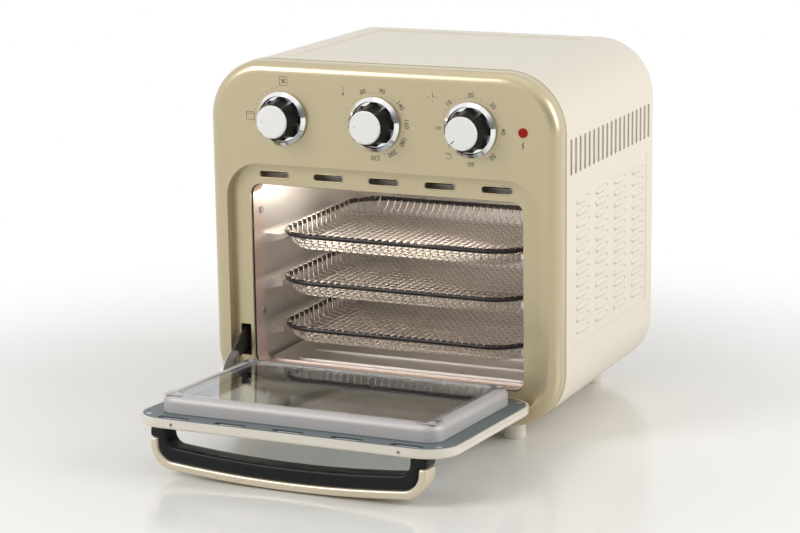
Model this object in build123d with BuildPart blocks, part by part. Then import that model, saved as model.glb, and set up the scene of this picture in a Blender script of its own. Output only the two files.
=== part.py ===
from build123d import *
from math import atan2, cos, degrees, pi, radians, sin, sqrt
import os

# Air fryer oven, shown with its door open.
# Millimetres. +X right, +Y into the oven, +Z up. The origin is on the floor, midway between the sides,
# and midway between the free edge of the open door and the end of the rear bush.
# A height is measured from the underside of the body and a depth from its front face.

# Body
BODY_W = 330.0
BODY_H = 308.0
BODY_D = 247.0
TOP_R = 52.0
BASE_R = 48.0
SHEET = 1.0
FOOT_H = 15.0
FOOT_D = 19.7
FOOT_SIDE_INSET = 50.0
FOOT_INSET = 26.0
FOOT_EDGE = 1.5
FIT = 0.3

# Moulded front
BEZEL_D = 19.0
BEZEL_WALL = 3.0
BEZEL_EDGE_R = 10.0
RECESS_W = 298.0
RECESS_LOW = 12.5
RECESS_TOP = 217.0
RECESS_R = 32.0
RECESS_D = 9.0
MOUTH_W = 260.0
MOUTH_LOW = 30.0
MOUTH_TOP = 197.0
MOUTH_R = 10.0
VENT_W = 29.0
VENT_H = 6.5
VENT_PITCH = 53.1
VENT_COUNT = 5
VENT_Z = 206.3
HINGE_INSET = 10.9
HINGE_SLOT_W = 10.2
HINGE_SLOT_LOW = 38.6
HINGE_SLOT_TOP = 67.7

# Shell pressings
SLIT_W = 2.6
SLIT_COUNT = 19
SLIT_PITCH = 11.3
SLIT_LOW = 219.0
SLIT_TOP = 250.0
LOUVRE_W = 29.0
LOUVRE_H = 2.4
LOUVRE_COLUMNS = 4
LOUVRE_ROWS = 12
LOUVRE_PITCH_Y = 48.3
LOUVRE_PITCH_Z = 10.4
LOUVRE_Z = 135.5
PRESSING_Y = 133.0
PRESSING_D = 196.0
PRESSING_LOW = 66.0
PRESSING_TOP = 206.0
PRESSING_STEP = 0.4
TOP_PANEL_W = 208.0
TOP_PANEL_FRONT = 38.0
TOP_PANEL_BACK = 232.0
TOP_PANEL_STEP = 0.8
TOP_PANEL_R = 8.0
HATCH_SIDE_INSET = 75.0
HATCH_EDGE = 22.0
HATCH_LAP = 7.0
BASE_SLOT_PITCH = 40.0
BASE_SLOT_COLUMNS = 3
BASE_SLOT_ROWS = 3

# Rear
REAR_SLOT_W = 34.0
REAR_SLOT_H = 3.0
REAR_SLOT_COLUMNS = 5
REAR_SLOT_ROWS = 6
REAR_SLOT_PITCH_X = 42.0
REAR_SLOT_PITCH_Z = 8.0
REAR_SLOT_Z = 250.0
GLAND_INSET = 47.0
GLAND_Z = 46.0
GLAND_D = 17.0
GLAND_NOSE = 6.0
GLAND_TAPER = 8.0
TERMINAL_RISE = 35.0
TERMINAL_COLUMNS = 3
TERMINAL_ROWS = 2
TERMINAL_PITCH_X = 10.0
TERMINAL_PITCH_Z = 9.0
TERMINAL_BORE = 5.0
TERMINAL_BORE_D = 7.0
CORD_BORE = 7.4
TERMINAL_W = 30.0
TERMINAL_D = 14.0
TERMINAL_H = 18.0

# Cooking space
CAVITY_DROP = 6.0
CAVITY_RISE = 7.0
CAVITY_BACK = 228.0
FRAME_D = 20.0
FRAME_LIP = 4.0
FRAME_LAP = 8.0
REAR_PANEL_W = 180.0
REAR_PANEL_H = 104.0
REAR_PANEL_R = 12.0
LAP = 4.0
RUNNER_REACH = 15.0
RUNNER_H = 9.0
RUNNER_FRONT = 40.0
RUNNER_BACK = 216.0
FLOOR_RIB_COUNT = 5
FLOOR_RIB_PITCH = 34.0
FLOOR_RIB_H = 1.5
FLOOR_RIB_W = 6.0

# Wire baskets and crumb tray
BASKET_SIDE_GAP = 11.0
BASKET_D = 190.0
BASKET_FRONT = 26.0
BASKET_R = 36.0
BASKET_DEPTH = 14.0
BASKET_SLOPE = 12.0
BASKET_COUNT = 3
BASKET_PITCH = 42.8
LOW_RIM_Z = 62.3
RIM_D = 4.5
MESH_T = 1.2
GRID_PITCH = 13.0
GRID_BAR = 3.0
TRAY_SIDE_GAP = 4.0
TRAY_D = 193.0
TRAY_H = 7.0
TRAY_T = 1.0
TRAY_R = 8.0
TRAY_RIB_INSET = 16.0

# Hot air unit over the ceiling
GUARD_SLOTS = 24
GUARD_SLOT_W = 5.0
AIR_Y = 130.0
GUARD_D = 168.0
HOUSING_D = 176.0
HOUSING_H = 43.0
HOUSING_FLANGE = 8.0
HEATER_TUBE = 6.5
HEATER_R = 72.0
HEATER_PITCH = 12.0
HEATER_Z = 214.0
HEATER_LEG = 14.0
HEATER_BEND = 9.0
FAN_D = 84.0
FAN_DISC_D = 73.0
FAN_H = 14.0
FAN_Z = 224.0
BLADES = 8
BLADE_T = 1.2
HUB_D = 22.0
SHAFT_D = 6.0
COOLER_D = 84.0
COOLER_DISC_D = 62.0
COOLER_H = 7.0
MOTOR_D = 58.0
MOTOR_H = 30.0
BRACKET_RISE = 16.0
BRACKET_SPAN = 142.0
BRACKET_W = 34.0

# Controls
KNOB_Z = 258.6
KNOB_PITCH = 89.0
KNOB_X = -2.8
KNOB_GAP = 0.8
SKIRT_D = 47.5
SKIRT_T = 5.0
SKIRT_PLATE = 2.0
SKIRT_LIP = 1.5
SKIRT_ROUND = 0.75
GRIP_BASE_D = 39.0
GRIP_TOP_D = 31.0
GRIP_L = 18.0
FLUTES = 8
FLUTE_R = 9.0
FLUTE_CUT = 1.8
CAP_D = 29.0
CAP_T = 1.8
CAP_ROUND = 0.9
STEM_D = 6.0
STEM_HOLD = 10.0
STEM_GRIP = 12.0
PLATE_Y = 12.0
PLATE_W = 258.0
PLATE_H = 52.0
PLATE_T = 1.2
BOSS_D = 7.0
BOSS_INSET = 6.0
SWITCH_W = 32.0
SWITCH_D = 18.0
THERMOSTAT_W = 40.0
THERMOSTAT_D = 16.0
TIMER_W = 48.0
TIMER_D = 30.0
LAMP_INSET = 31.5
LAMP_D = 6.8
LAMP_FLANGE = 1.4
LAMP_RIM = 0.8
LAMP_EDGE_R = 1.1
LAMP_L = 10.0

# Door
DOOR_GAP_X = 4.5
DOOR_GAP_Z = 1.0
DOOR_T = 8.0
DOOR_R = 30.0
DOOR_SKIN = 2.0
PIVOT_Y = 2.2
PIVOT_RISE = 6.0
SEAT_GAP = 1.0
OPEN_ANGLE = 87.0
TOE_R = 2.6
BOX_GAP = 2.5
BOX_H = 15.0
BOX_R = 14.0
BOX_EDGE_R = 6.0
GLASS_T = 3.0
OUTER_GLASS_T = 3.6
GLASS_SINK = 0.4
RING_W = 9.0
LEDGE = 6.0
WINDOW_R = 8.0
FRAME_WALL = 2.2
OUTER_WINDOW_INSET = 28.5
OUTER_WINDOW_H = 140.0
POST_D = 6.0
POST_INSET = 12.5
POST_RISE = 15.0
LOW_HEAD = 0.6
RUN_GAP = 0.05
CLIP = 19.0
CLIP_T = 0.8
CLIP_R = 1.5
SCREW_D = 6.4
SCREW_SHANK = 3.0
CLIP_INSET = 3.5
CLIP_SCREW_INSET = 8.5
SCREW_HEAD = 1.3
SCREW_L = 4.5
RIM_HOLE_INSET = 41.5
RIM_HOLE_D = 3.0
RIM_HOLE_IN = 2.0
PIN_D = 2.4
PIN_SEAT = 4.5
PIN_REACH = 11.0
BARREL_END = 7.0
BARREL_RISE = 4.0
HEEL_R = 6.5

# Handle
HANDLE_INSET = 19.0
HANDLE_H = 20.0
HANDLE_REACH = 36.0
HANDLE_BOW = 5.0
HANDLE_R = 22.0
HANDLE_LEG = 15.0
HANDLE_BAR = 20.0
HANDLE_TOP_GAP = 4.5
COVER_T = 7.4
COVER_START = 9.0
HANDLE_INNER_R = 10.0
HANDLE_SCREW_L = 8.5

# Door link, on one side of the oven only: -1 is the left
LINK_SIDE = -1
EAR_T = 2.0
EAR_FOOT = 2.4
EAR_END = 5.5
EAR_BULGE = 3.0
EAR_TOP_H = 28.5
EAR_TOP_IN = 29.0
EAR_BOSS = 12.0
EAR_NOTCH_R = 23.4
EAR_ROOT = 23.0
EAR_TIP = 46.5
RIVET_H = 19.2
RIVET_IN = 21.8
RIVET_D = 4.0
RIVET_HEAD = 8.0
RIVET_HEAD_T = 1.2
LEVER_T = 2.0
LINK_GAP = 0.4
LEVER_ANGLE = 26.0
LEVER_L = 80.0
LEVER_EYE = 9.0
LEVER_W = 16.4
LEVER_NOSE = 14.0
LEVER_NECK = 34.0
TAIL_W = 7.0
TAIL_HOLE = 3.0
SPRING_D = 8.0
SPRING_RING = 7.0
ANCHOR_D = 4.4
ANCHOR_HEAD = 6.4
ANCHOR_CAP = 1.2
ANCHOR_SHANK = 3.4
SPRING_WIRE = 1.4
SPRING_BACK = 186.0

# Fasteners of the body
CASE_SCREW_D = 7.0
CASE_SCREW_HEAD = 2.0
CASE_SCREW_L = 6.0
CASE_SHANK = 3.4
REAR_FLANGE = 10.0
REAR_SCREW_SIDE_INSET = 65.0
REAR_SCREW_INSET = 6.0
REAR_SCREW_SIDE_Z = 150.0
BASE_SCREW_INSET = 3.5
WALL_SCREW_Y = 28.0
WALL_SCREW_ZS = (76.0, 169.5)

TILT = 90.0 - OPEN_ANGLE
FOOT_X = BODY_W / 2 - FOOT_SIDE_INSET
HATCH_X = BODY_W / 2 - HATCH_SIDE_INSET
REAR_SCREW_X = BODY_W / 2 - REAR_SCREW_SIDE_INSET
GLAND_X = GLAND_INSET - BODY_W / 2
LAMP_X = BODY_W / 2 - LAMP_INSET
HINGE_X = RECESS_W / 2 - HINGE_INSET
CAVITY_W = MOUTH_W + 2 * SHEET
CAVITY_LOW = MOUTH_LOW - CAVITY_DROP
CAVITY_TOP = MOUTH_TOP + CAVITY_RISE
BASKET_W = CAVITY_W - 2 * BASKET_SIDE_GAP
TRAY_W = CAVITY_W - 2 * TRAY_SIDE_GAP
PIVOT_Z = RECESS_LOW + DOOR_GAP_Z + PIVOT_RISE
DOOR_IN = RECESS_D - SEAT_GAP - PIVOT_Y
DOOR_OUT = DOOR_T - DOOR_IN
DOOR_W = RECESS_W - 2 * DOOR_GAP_X
DOOR_H = RECESS_TOP - RECESS_LOW - 2 * DOOR_GAP_Z
DOOR_LOW = -PIVOT_RISE
DOOR_TOP = DOOR_H - PIVOT_RISE
DOOR_EDGE_OUT = (DOOR_TOP - TOE_R) * cos(radians(TILT)) + (DOOR_OUT - TOE_R) * sin(radians(TILT))
FRONT = (DOOR_EDGE_OUT + TOE_R - PIVOT_Y - BODY_D - GLAND_NOSE) / 2
HANDLE_W = DOOR_W - 2 * HANDLE_INSET
RIM_HOLE_X = DOOR_W / 2 - RIM_HOLE_INSET
OUTER_WINDOW_W = DOOR_W - 2 * OUTER_WINDOW_INSET
CORNER_DROP = RECESS_R - DOOR_GAP_Z - PIVOT_RISE
PIN_WALL = RECESS_W / 2 - RECESS_R + sqrt(RECESS_R**2 - CORNER_DROP**2)
PIN_OUT = PIN_WALL + PIN_SEAT
PIN_IN = PIN_WALL - PIN_REACH
BARREL_X = PIN_IN - BARREL_END
RIM_LEVELS = [LOW_RIM_Z + BASKET_PITCH * step for step in range(BASKET_COUNT)]
RIVET_Y = PIVOT_Y - RIVET_H * cos(radians(TILT)) + RIVET_IN * sin(radians(TILT))
RIVET_Z = PIVOT_Z + RIVET_H * sin(radians(TILT)) + RIVET_IN * cos(radians(TILT))
TAIL_Y = RIVET_Y + LEVER_L * cos(radians(LEVER_ANGLE))
TAIL_Z = RIVET_Z + LEVER_L * sin(radians(LEVER_ANGLE))
EAR_IN = HINGE_X - LINK_GAP / 2 - EAR_T
LEVER_IN = HINGE_X + LINK_GAP / 2
BOX_W = MOUTH_W - 2 * BOX_GAP
BOX_LOW = MOUTH_LOW + BOX_GAP - PIVOT_Z
BOX_TOP = MOUTH_TOP - BOX_GAP - PIVOT_Z

os.makedirs("parts", exist_ok=True)


def facing(depth):
    """Plane that looks at the viewer: X across, height up."""
    return Plane(origin=(0, FRONT + depth, FOOT_H), x_dir=(1, 0, 0), z_dir=(0, -1, 0))


def level(height):
    """Horizontal plane: X across, depth into the oven."""
    return Plane(origin=(0, FRONT, FOOT_H + height), x_dir=(1, 0, 0), z_dir=(0, 0, 1))


def side(x):
    """Plane that looks along +X: depth across, height up."""
    return Plane(origin=(x, FRONT, FOOT_H), x_dir=(0, 1, 0), z_dir=(1, 0, 0))


def door(out):
    """Plane of the open door: X across, then from the pivot to the free edge."""
    outward = (0, -sin(radians(TILT)), -cos(radians(TILT)))
    pivot = (0, FRONT + PIVOT_Y, FOOT_H + PIVOT_Z)
    return Plane(origin=pivot, x_dir=(1, 0, 0), z_dir=outward).offset(out)


def door_side(x):
    """Plane across the open door: pivot to free edge, then inwards."""
    along = (0, -cos(radians(TILT)), sin(radians(TILT)))
    return Plane(origin=(x, FRONT + PIVOT_Y, FOOT_H + PIVOT_Z), x_dir=along, z_dir=(-1, 0, 0))


def lever_side(x):
    """Plane of the door link: along the link from its rivet, then upwards."""
    along = (0, cos(radians(LEVER_ANGLE)), sin(radians(LEVER_ANGLE)))
    return Plane(origin=(x, FRONT + RIVET_Y, FOOT_H + RIVET_Z), x_dir=along, z_dir=(1, 0, 0))


def rounded(width, low, high, low_r, high_r, mode=Mode.ADD):
    """Draw an upright rectangle with one radius at its foot and one at its head."""
    half = width / 2
    with BuildLine() as edge:
        FilletPolyline(
            (-half, low), (half, low), (half, high), (-half, high),
            radius=[low_r, low_r, high_r, high_r],
            close=True,
        )
    make_face(edge.edges(), mode=mode)


def body_outline(inset, mode=Mode.ADD):
    """Draw the outline of the body, drawn in by an inset."""
    rounded(
        BODY_W - 2 * inset, inset, BODY_H - inset, BASE_R - inset, TOP_R - inset, mode=mode
    )


def recess_outline(grow, mode=Mode.ADD):
    """Draw the outline of the door recess, grown outwards."""
    rounded(
        RECESS_W + 2 * grow, RECESS_LOW - grow, RECESS_TOP + grow,
        RECESS_R + grow, RECESS_R + grow, mode=mode,
    )


def mouth_outline(grow, mode=Mode.ADD):
    """Draw the mouth of the cooking space, grown outwards."""
    rounded(
        MOUTH_W + 2 * grow, MOUTH_LOW - grow, MOUTH_TOP + grow,
        MOUTH_R + grow, MOUTH_R + grow, mode=mode,
    )


def save(part, label):
    """Name a finished piece and write its file."""
    part.label = label
    export_step(part, f"parts/{label}.step")


knob_xs = [KNOB_X + KNOB_PITCH * step for step in (-1, 0, 1)]
plate_x = sum(knob_xs) / len(knob_xs)
boss_spots = [
    (plate_x + across * (PLATE_W / 2 - BOSS_INSET), KNOB_Z + up * (PLATE_H / 2 - BOSS_INSET))
    for across in (-1, 1)
    for up in (-1, 1)
]

# Moulded front with the door recess
with BuildPart() as front_bezel:
    with BuildSketch(facing(0)):
        body_outline(0)
    extrude(amount=-BEZEL_D)
    fillet(front_bezel.faces().sort_by(Axis.Y)[0].edges(), radius=BEZEL_EDGE_R)
    with BuildSketch(facing(0)):
        recess_outline(0)
    extrude(amount=-RECESS_D, mode=Mode.SUBTRACT)
    with BuildSketch(facing(BEZEL_D)):
        body_outline(BEZEL_EDGE_R)
        recess_outline(BEZEL_WALL, mode=Mode.SUBTRACT)
    extrude(amount=BEZEL_D - BEZEL_WALL, mode=Mode.SUBTRACT)
    with BuildSketch(facing(BEZEL_D)):
        body_outline(BEZEL_WALL)
        recess_outline(BEZEL_WALL, mode=Mode.SUBTRACT)
    extrude(amount=BEZEL_D - BEZEL_EDGE_R, mode=Mode.SUBTRACT)
    with BuildSketch(facing(BEZEL_D)):
        recess_outline(BEZEL_WALL)
    extrude(amount=BEZEL_D - RECESS_D - BEZEL_WALL, mode=Mode.SUBTRACT)
    with BuildSketch(facing(BEZEL_WALL)):
        with Locations(*boss_spots):
            Circle(BOSS_D / 2)
    extrude(amount=BEZEL_WALL - PLATE_Y)
    with BuildSketch(facing(0)):
        mouth_outline(0)
        with GridLocations(VENT_PITCH, 0, VENT_COUNT, 1):
            with Locations((0, VENT_Z)):
                SlotOverall(VENT_W, VENT_H)
        with Locations((LINK_SIDE * HINGE_X, (HINGE_SLOT_LOW + HINGE_SLOT_TOP) / 2)):
            Rectangle(HINGE_SLOT_W, HINGE_SLOT_TOP - HINGE_SLOT_LOW)
        with Locations(*[(x, KNOB_Z) for x in knob_xs]):
            Circle(STEM_D / 2 + FIT)
        with Locations((LAMP_X, KNOB_Z)):
            Circle(LAMP_D / 2)
    extrude(amount=-BEZEL_D, mode=Mode.SUBTRACT)
    for turn in (-1, 1):
        with BuildSketch(side(turn * BARREL_X)):
            with Locations((PIVOT_Y, PIVOT_Z)):
                Circle(PIN_D / 2)
        extrude(amount=turn * (PIN_OUT - BARREL_X), mode=Mode.SUBTRACT)
save(front_bezel.part, "front_bezel")

rear_screws = [
    (x, z)
    for z in (REAR_SCREW_INSET, BODY_H - REAR_SCREW_INSET)
    for x in (-REAR_SCREW_X, REAR_SCREW_X)
] + [(turn * (BODY_W / 2 - REAR_SCREW_INSET), REAR_SCREW_SIDE_Z) for turn in (-1, 1)]
base_screws = [
    (turn * (HATCH_X + BASE_SCREW_INSET), depth)
    for turn in (-1, 1)
    for depth in (BEZEL_D + HATCH_EDGE, BODY_D - HATCH_EDGE)
]

# Wrapped sheet shell
with BuildPart() as outer_shell:
    with BuildSketch(facing(BEZEL_D)):
        body_outline(0)
        body_outline(SHEET, mode=Mode.SUBTRACT)
    extrude(amount=BEZEL_D - BODY_D)
    panel_y = (TOP_PANEL_FRONT + TOP_PANEL_BACK) / 2
    panel_d = TOP_PANEL_BACK - TOP_PANEL_FRONT
    with BuildSketch(level(BODY_H - SHEET)):
        with Locations((0, panel_y)):
            RectangleRounded(TOP_PANEL_W, panel_d, TOP_PANEL_R)
    extrude(amount=-TOP_PANEL_STEP)
    with BuildSketch(level(BODY_H)):
        with Locations((0, panel_y)):
            Rectangle(TOP_PANEL_W - 2 * SHEET, panel_d - 2 * SHEET)
    extrude(amount=-TOP_PANEL_STEP, mode=Mode.SUBTRACT)
    for turn in (-1, 1):
        with BuildSketch(side(turn * (BODY_W / 2 - SHEET))):
            with Locations((PRESSING_Y, (PRESSING_LOW + PRESSING_TOP) / 2)):
                Rectangle(PRESSING_D, PRESSING_TOP - PRESSING_LOW)
        extrude(amount=-turn * PRESSING_STEP)
        with BuildSketch(side(turn * BODY_W / 2)):
            with Locations((PRESSING_Y, (PRESSING_LOW + PRESSING_TOP) / 2)):
                Rectangle(PRESSING_D - 2 * SHEET, PRESSING_TOP - PRESSING_LOW - 2 * SHEET)
        extrude(amount=-turn * PRESSING_STEP, mode=Mode.SUBTRACT)
        with BuildSketch(side(turn * BODY_W / 2)):
            with Locations((PRESSING_Y, (SLIT_LOW + SLIT_TOP) / 2)):
                with GridLocations(SLIT_PITCH, 0, SLIT_COUNT, 1):
                    SlotOverall(SLIT_TOP - SLIT_LOW, SLIT_W, rotation=90)
            with Locations((PRESSING_Y, LOUVRE_Z)):
                with GridLocations(LOUVRE_PITCH_Y, LOUVRE_PITCH_Z, LOUVRE_COLUMNS, LOUVRE_ROWS):
                    SlotOverall(LOUVRE_W, LOUVRE_H)
        extrude(amount=-turn * (SHEET + PRESSING_STEP), mode=Mode.SUBTRACT)
    with BuildSketch(level(0)):
        with Locations((0, (BEZEL_D + BODY_D) / 2)):
            Rectangle(2 * HATCH_X, BODY_D - BEZEL_D - 2 * HATCH_EDGE)
        with Locations(*base_screws):
            Circle(CASE_SHANK / 2)
    extrude(amount=SHEET, mode=Mode.SUBTRACT)
    with BuildSketch(facing(BODY_D - SHEET)):
        body_outline(SHEET)
        body_outline(REAR_FLANGE, mode=Mode.SUBTRACT)
        with Locations(*rear_screws):
            Circle(CASE_SHANK / 2, mode=Mode.SUBTRACT)
    extrude(amount=SHEET)
save(outer_shell.part, "outer_shell")

# Plate that closes the underside
with BuildPart() as base_plate:
    with BuildSketch(level(SHEET)):
        with Locations((0, (BEZEL_D + BODY_D) / 2)):
            RectangleRounded(
                2 * (HATCH_X + HATCH_LAP), BODY_D - BEZEL_D - 2 * (HATCH_EDGE - HATCH_LAP), LAP
            )
    extrude(amount=SHEET)
    with BuildSketch(level(SHEET)):
        with Locations((0, (BEZEL_D + BODY_D) / 2)):
            with GridLocations(REAR_SLOT_PITCH_X, BASE_SLOT_PITCH, BASE_SLOT_COLUMNS, BASE_SLOT_ROWS):
                SlotOverall(REAR_SLOT_W, REAR_SLOT_H)
        with Locations(*base_screws):
            Circle(CASE_SHANK / 2)
    extrude(amount=SHEET, mode=Mode.SUBTRACT)
save(base_plate.part, "base_plate")

# Rear sheet with its air slots
with BuildPart() as back_panel:
    with BuildSketch(facing(BODY_D)):
        body_outline(SHEET + FIT)
    extrude(amount=SHEET)
    with BuildSketch(facing(BODY_D)):
        with Locations((0, REAR_SLOT_Z)):
            with GridLocations(
                REAR_SLOT_PITCH_X, REAR_SLOT_PITCH_Z, REAR_SLOT_COLUMNS, REAR_SLOT_ROWS
            ):
                SlotOverall(REAR_SLOT_W, REAR_SLOT_H)
        with Locations((GLAND_X, GLAND_Z)):
            Circle(GLAND_D / 2)
        with Locations(*rear_screws):
            Circle(CASE_SHANK / 2)
    extrude(amount=SHEET, mode=Mode.SUBTRACT)
save(back_panel.part, "back_panel")

# Bush that the mains lead would pass through
with BuildPart() as cord_gland:
    with BuildSketch(facing(BODY_D + GLAND_NOSE)):
        with Locations((GLAND_X, GLAND_Z)):
            Circle(GLAND_D / 2 - SHEET)
    extrude(amount=GLAND_NOSE, taper=-GLAND_TAPER)
    with BuildSketch(facing(BODY_D)):
        with Locations((GLAND_X, GLAND_Z)):
            Circle(GLAND_D / 2)
    extrude(amount=SHEET)
    with BuildSketch(facing(BODY_D - SHEET)):
        with Locations((GLAND_X, GLAND_Z)):
            Circle(GLAND_D / 2 + 2 * SHEET)
    extrude(amount=2 * SHEET)
    with BuildSketch(facing(BODY_D + GLAND_NOSE)):
        with Locations((GLAND_X, GLAND_Z)):
            Circle(CORD_BORE / 2)
    extrude(amount=GLAND_NOSE + 3 * SHEET, mode=Mode.SUBTRACT)
save(cord_gland.part, "cord_gland")

# Terminal block on the rear sheet
with BuildPart() as terminal_block:
    with BuildSketch(facing(BODY_D - SHEET)):
        with Locations((GLAND_X, GLAND_Z + TERMINAL_RISE)):
            Rectangle(TERMINAL_W, TERMINAL_H)
    extrude(amount=TERMINAL_D)
    with BuildSketch(facing(BODY_D - SHEET - TERMINAL_D)):
        with Locations((GLAND_X, GLAND_Z + TERMINAL_RISE)):
            with GridLocations(
                TERMINAL_PITCH_X, TERMINAL_PITCH_Z, TERMINAL_COLUMNS, TERMINAL_ROWS
            ):
                Circle(TERMINAL_BORE / 2)
    extrude(amount=-TERMINAL_BORE_D, mode=Mode.SUBTRACT)
save(terminal_block.part, "terminal_block")

# Four feet, trimmed to the curve of the shell
foot_depths = [FOOT_INSET, BODY_D - FOOT_INSET]
with BuildPart() as feet:
    with BuildSketch(level(-FOOT_H)):
        for depth in foot_depths:
            with Locations((-FOOT_X, depth), (FOOT_X, depth)):
                Circle(FOOT_D / 2)
    extrude(amount=FOOT_H + FOOT_EDGE)
    fillet(feet.edges().group_by(Axis.Z)[0], radius=FOOT_EDGE)
    with BuildSketch(facing(0)):
        body_outline(0)
    extrude(amount=-BODY_D, mode=Mode.SUBTRACT)
save(feet.part, "feet")

# Steel frame that lines the mouth
with BuildPart() as cavity_front_frame:
    with BuildSketch(facing(RECESS_D + BEZEL_WALL)):
        mouth_outline(FRAME_LIP)
        mouth_outline(0, mode=Mode.SUBTRACT)
    extrude(amount=-SHEET)
    with BuildSketch(facing(RECESS_D + BEZEL_WALL)):
        mouth_outline(SHEET)
        mouth_outline(0, mode=Mode.SUBTRACT)
    extrude(amount=-FRAME_D)
    with BuildSketch(side(-CAVITY_W)):
        with Locations(*[(WALL_SCREW_Y, z) for z in WALL_SCREW_ZS]):
            Circle(SCREW_SHANK / 2)
    extrude(amount=2 * CAVITY_W, mode=Mode.SUBTRACT)
save(cavity_front_frame.part, "cavity_front_frame")

# Cooking space: side walls with pressed runners
wall_front = RECESS_D + BEZEL_WALL + FRAME_D - FRAME_LAP
runner_tops = [rim - RIM_D / 2 - FIT for rim in RIM_LEVELS]


def cavity_wall(turn):
    """Build one side wall: +1 is the right wall."""
    with BuildPart() as wall:
        with BuildSketch(facing(wall_front)):
            with Locations((turn * (CAVITY_W + SHEET) / 2, (CAVITY_LOW + CAVITY_TOP) / 2)):
                Rectangle(SHEET, CAVITY_TOP - CAVITY_LOW)
        extrude(amount=wall_front - CAVITY_BACK)
        for inset, mode in ((0, Mode.ADD), (SHEET, Mode.SUBTRACT)):
            face = CAVITY_W / 2 + inset
            crest = CAVITY_W / 2 - RUNNER_REACH + inset
            with BuildSketch(facing(RUNNER_FRONT + inset)):
                for top in runner_tops:
                    with BuildLine() as ridge:
                        Polyline(
                            (turn * face, top - inset),
                            (turn * crest, top - inset),
                            (turn * crest, top - RUNNER_H / 2 + inset / 2),
                            (turn * face, top - RUNNER_H + inset),
                            close=True,
                        )
                    make_face(ridge.edges())
            extrude(amount=RUNNER_FRONT - RUNNER_BACK + 2 * inset, mode=mode)
        with BuildSketch(side(turn * CAVITY_W / 2)):
            with Locations(*[(WALL_SCREW_Y, z) for z in WALL_SCREW_ZS]):
                Circle(SCREW_SHANK / 2)
            if turn == LINK_SIDE:
                with Locations((SPRING_BACK, TAIL_Z)):
                    Circle(ANCHOR_SHANK / 2)
        extrude(amount=turn * SHEET, mode=Mode.SUBTRACT)
    return wall.part


save(cavity_wall(-1), "cavity_left_wall")
save(cavity_wall(1), "cavity_right_wall")

# Ceiling with the air opening
with BuildPart() as cavity_ceiling:
    with BuildSketch(level(CAVITY_TOP)):
        with Locations((0, (wall_front + CAVITY_BACK) / 2)):
            Rectangle(CAVITY_W + 2 * SHEET, CAVITY_BACK - wall_front)
        with Locations((0, AIR_Y)):
            Circle(GUARD_D / 2 - LAP, mode=Mode.SUBTRACT)
    extrude(amount=SHEET)
    with BuildSketch(facing(wall_front)):
        with Locations((0, (CAVITY_TOP + MOUTH_TOP + SHEET) / 2)):
            Rectangle(CAVITY_W, CAVITY_TOP - MOUTH_TOP - SHEET)
    extrude(amount=-SHEET)
save(cavity_ceiling.part, "cavity_ceiling")

# Floor of the cooking space, turned up to the mouth
with BuildPart() as cavity_floor:
    with BuildSketch(level(CAVITY_LOW)):
        with Locations((0, (wall_front + CAVITY_BACK) / 2)):
            Rectangle(CAVITY_W + 2 * SHEET, CAVITY_BACK - wall_front)
    extrude(amount=-SHEET)
    with BuildSketch(facing(wall_front)):
        with Locations((0, (CAVITY_LOW + MOUTH_LOW - SHEET) / 2)):
            Rectangle(CAVITY_W, MOUTH_LOW - SHEET - CAVITY_LOW)
    extrude(amount=-SHEET)
save(cavity_floor.part, "cavity_floor")

# Rear wall of the cooking space
with BuildPart() as cavity_back:
    with BuildSketch(facing(CAVITY_BACK)):
        with Locations((0, (CAVITY_LOW + CAVITY_TOP) / 2)):
            Rectangle(CAVITY_W + 2 * SHEET, CAVITY_TOP - CAVITY_LOW + 2 * SHEET)
    extrude(amount=-SHEET)
    with BuildSketch(facing(CAVITY_BACK)):
        with Locations((0, (CAVITY_LOW + CAVITY_TOP) / 2)):
            RectangleRounded(REAR_PANEL_W - 2 * SHEET, REAR_PANEL_H - 2 * SHEET, REAR_PANEL_R - SHEET)
    extrude(amount=-SHEET, mode=Mode.SUBTRACT)
    with BuildSketch(facing(CAVITY_BACK + SHEET)):
        with Locations((0, (CAVITY_LOW + CAVITY_TOP) / 2)):
            RectangleRounded(REAR_PANEL_W, REAR_PANEL_H, REAR_PANEL_R)
    extrude(amount=-SHEET)
save(cavity_back.part, "cavity_back")

# Crumb tray on the floor
with BuildPart() as crumb_tray:
    tray_front = RECESS_D + BEZEL_WALL + FRAME_D + FIT
    tray_y = tray_front + TRAY_D / 2
    with BuildSketch(level(CAVITY_LOW + FIT)):
        with Locations((0, tray_y)):
            RectangleRounded(TRAY_W, TRAY_D, TRAY_R)
    extrude(amount=TRAY_H)
    with BuildSketch(level(CAVITY_LOW + FIT + TRAY_T)):
        with Locations((0, tray_y)):
            RectangleRounded(TRAY_W - 2 * TRAY_T, TRAY_D - 2 * TRAY_T, TRAY_R - TRAY_T)
    extrude(amount=TRAY_H, mode=Mode.SUBTRACT)
    with BuildSketch(level(CAVITY_LOW + FIT + TRAY_T)):
        with Locations((0, tray_y)):
            with GridLocations(0, FLOOR_RIB_PITCH, 1, FLOOR_RIB_COUNT):
                SlotOverall(TRAY_W - 2 * TRAY_RIB_INSET, FLOOR_RIB_W)
    extrude(amount=FLOOR_RIB_H)
save(crumb_tray.part, "crumb_tray")


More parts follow.
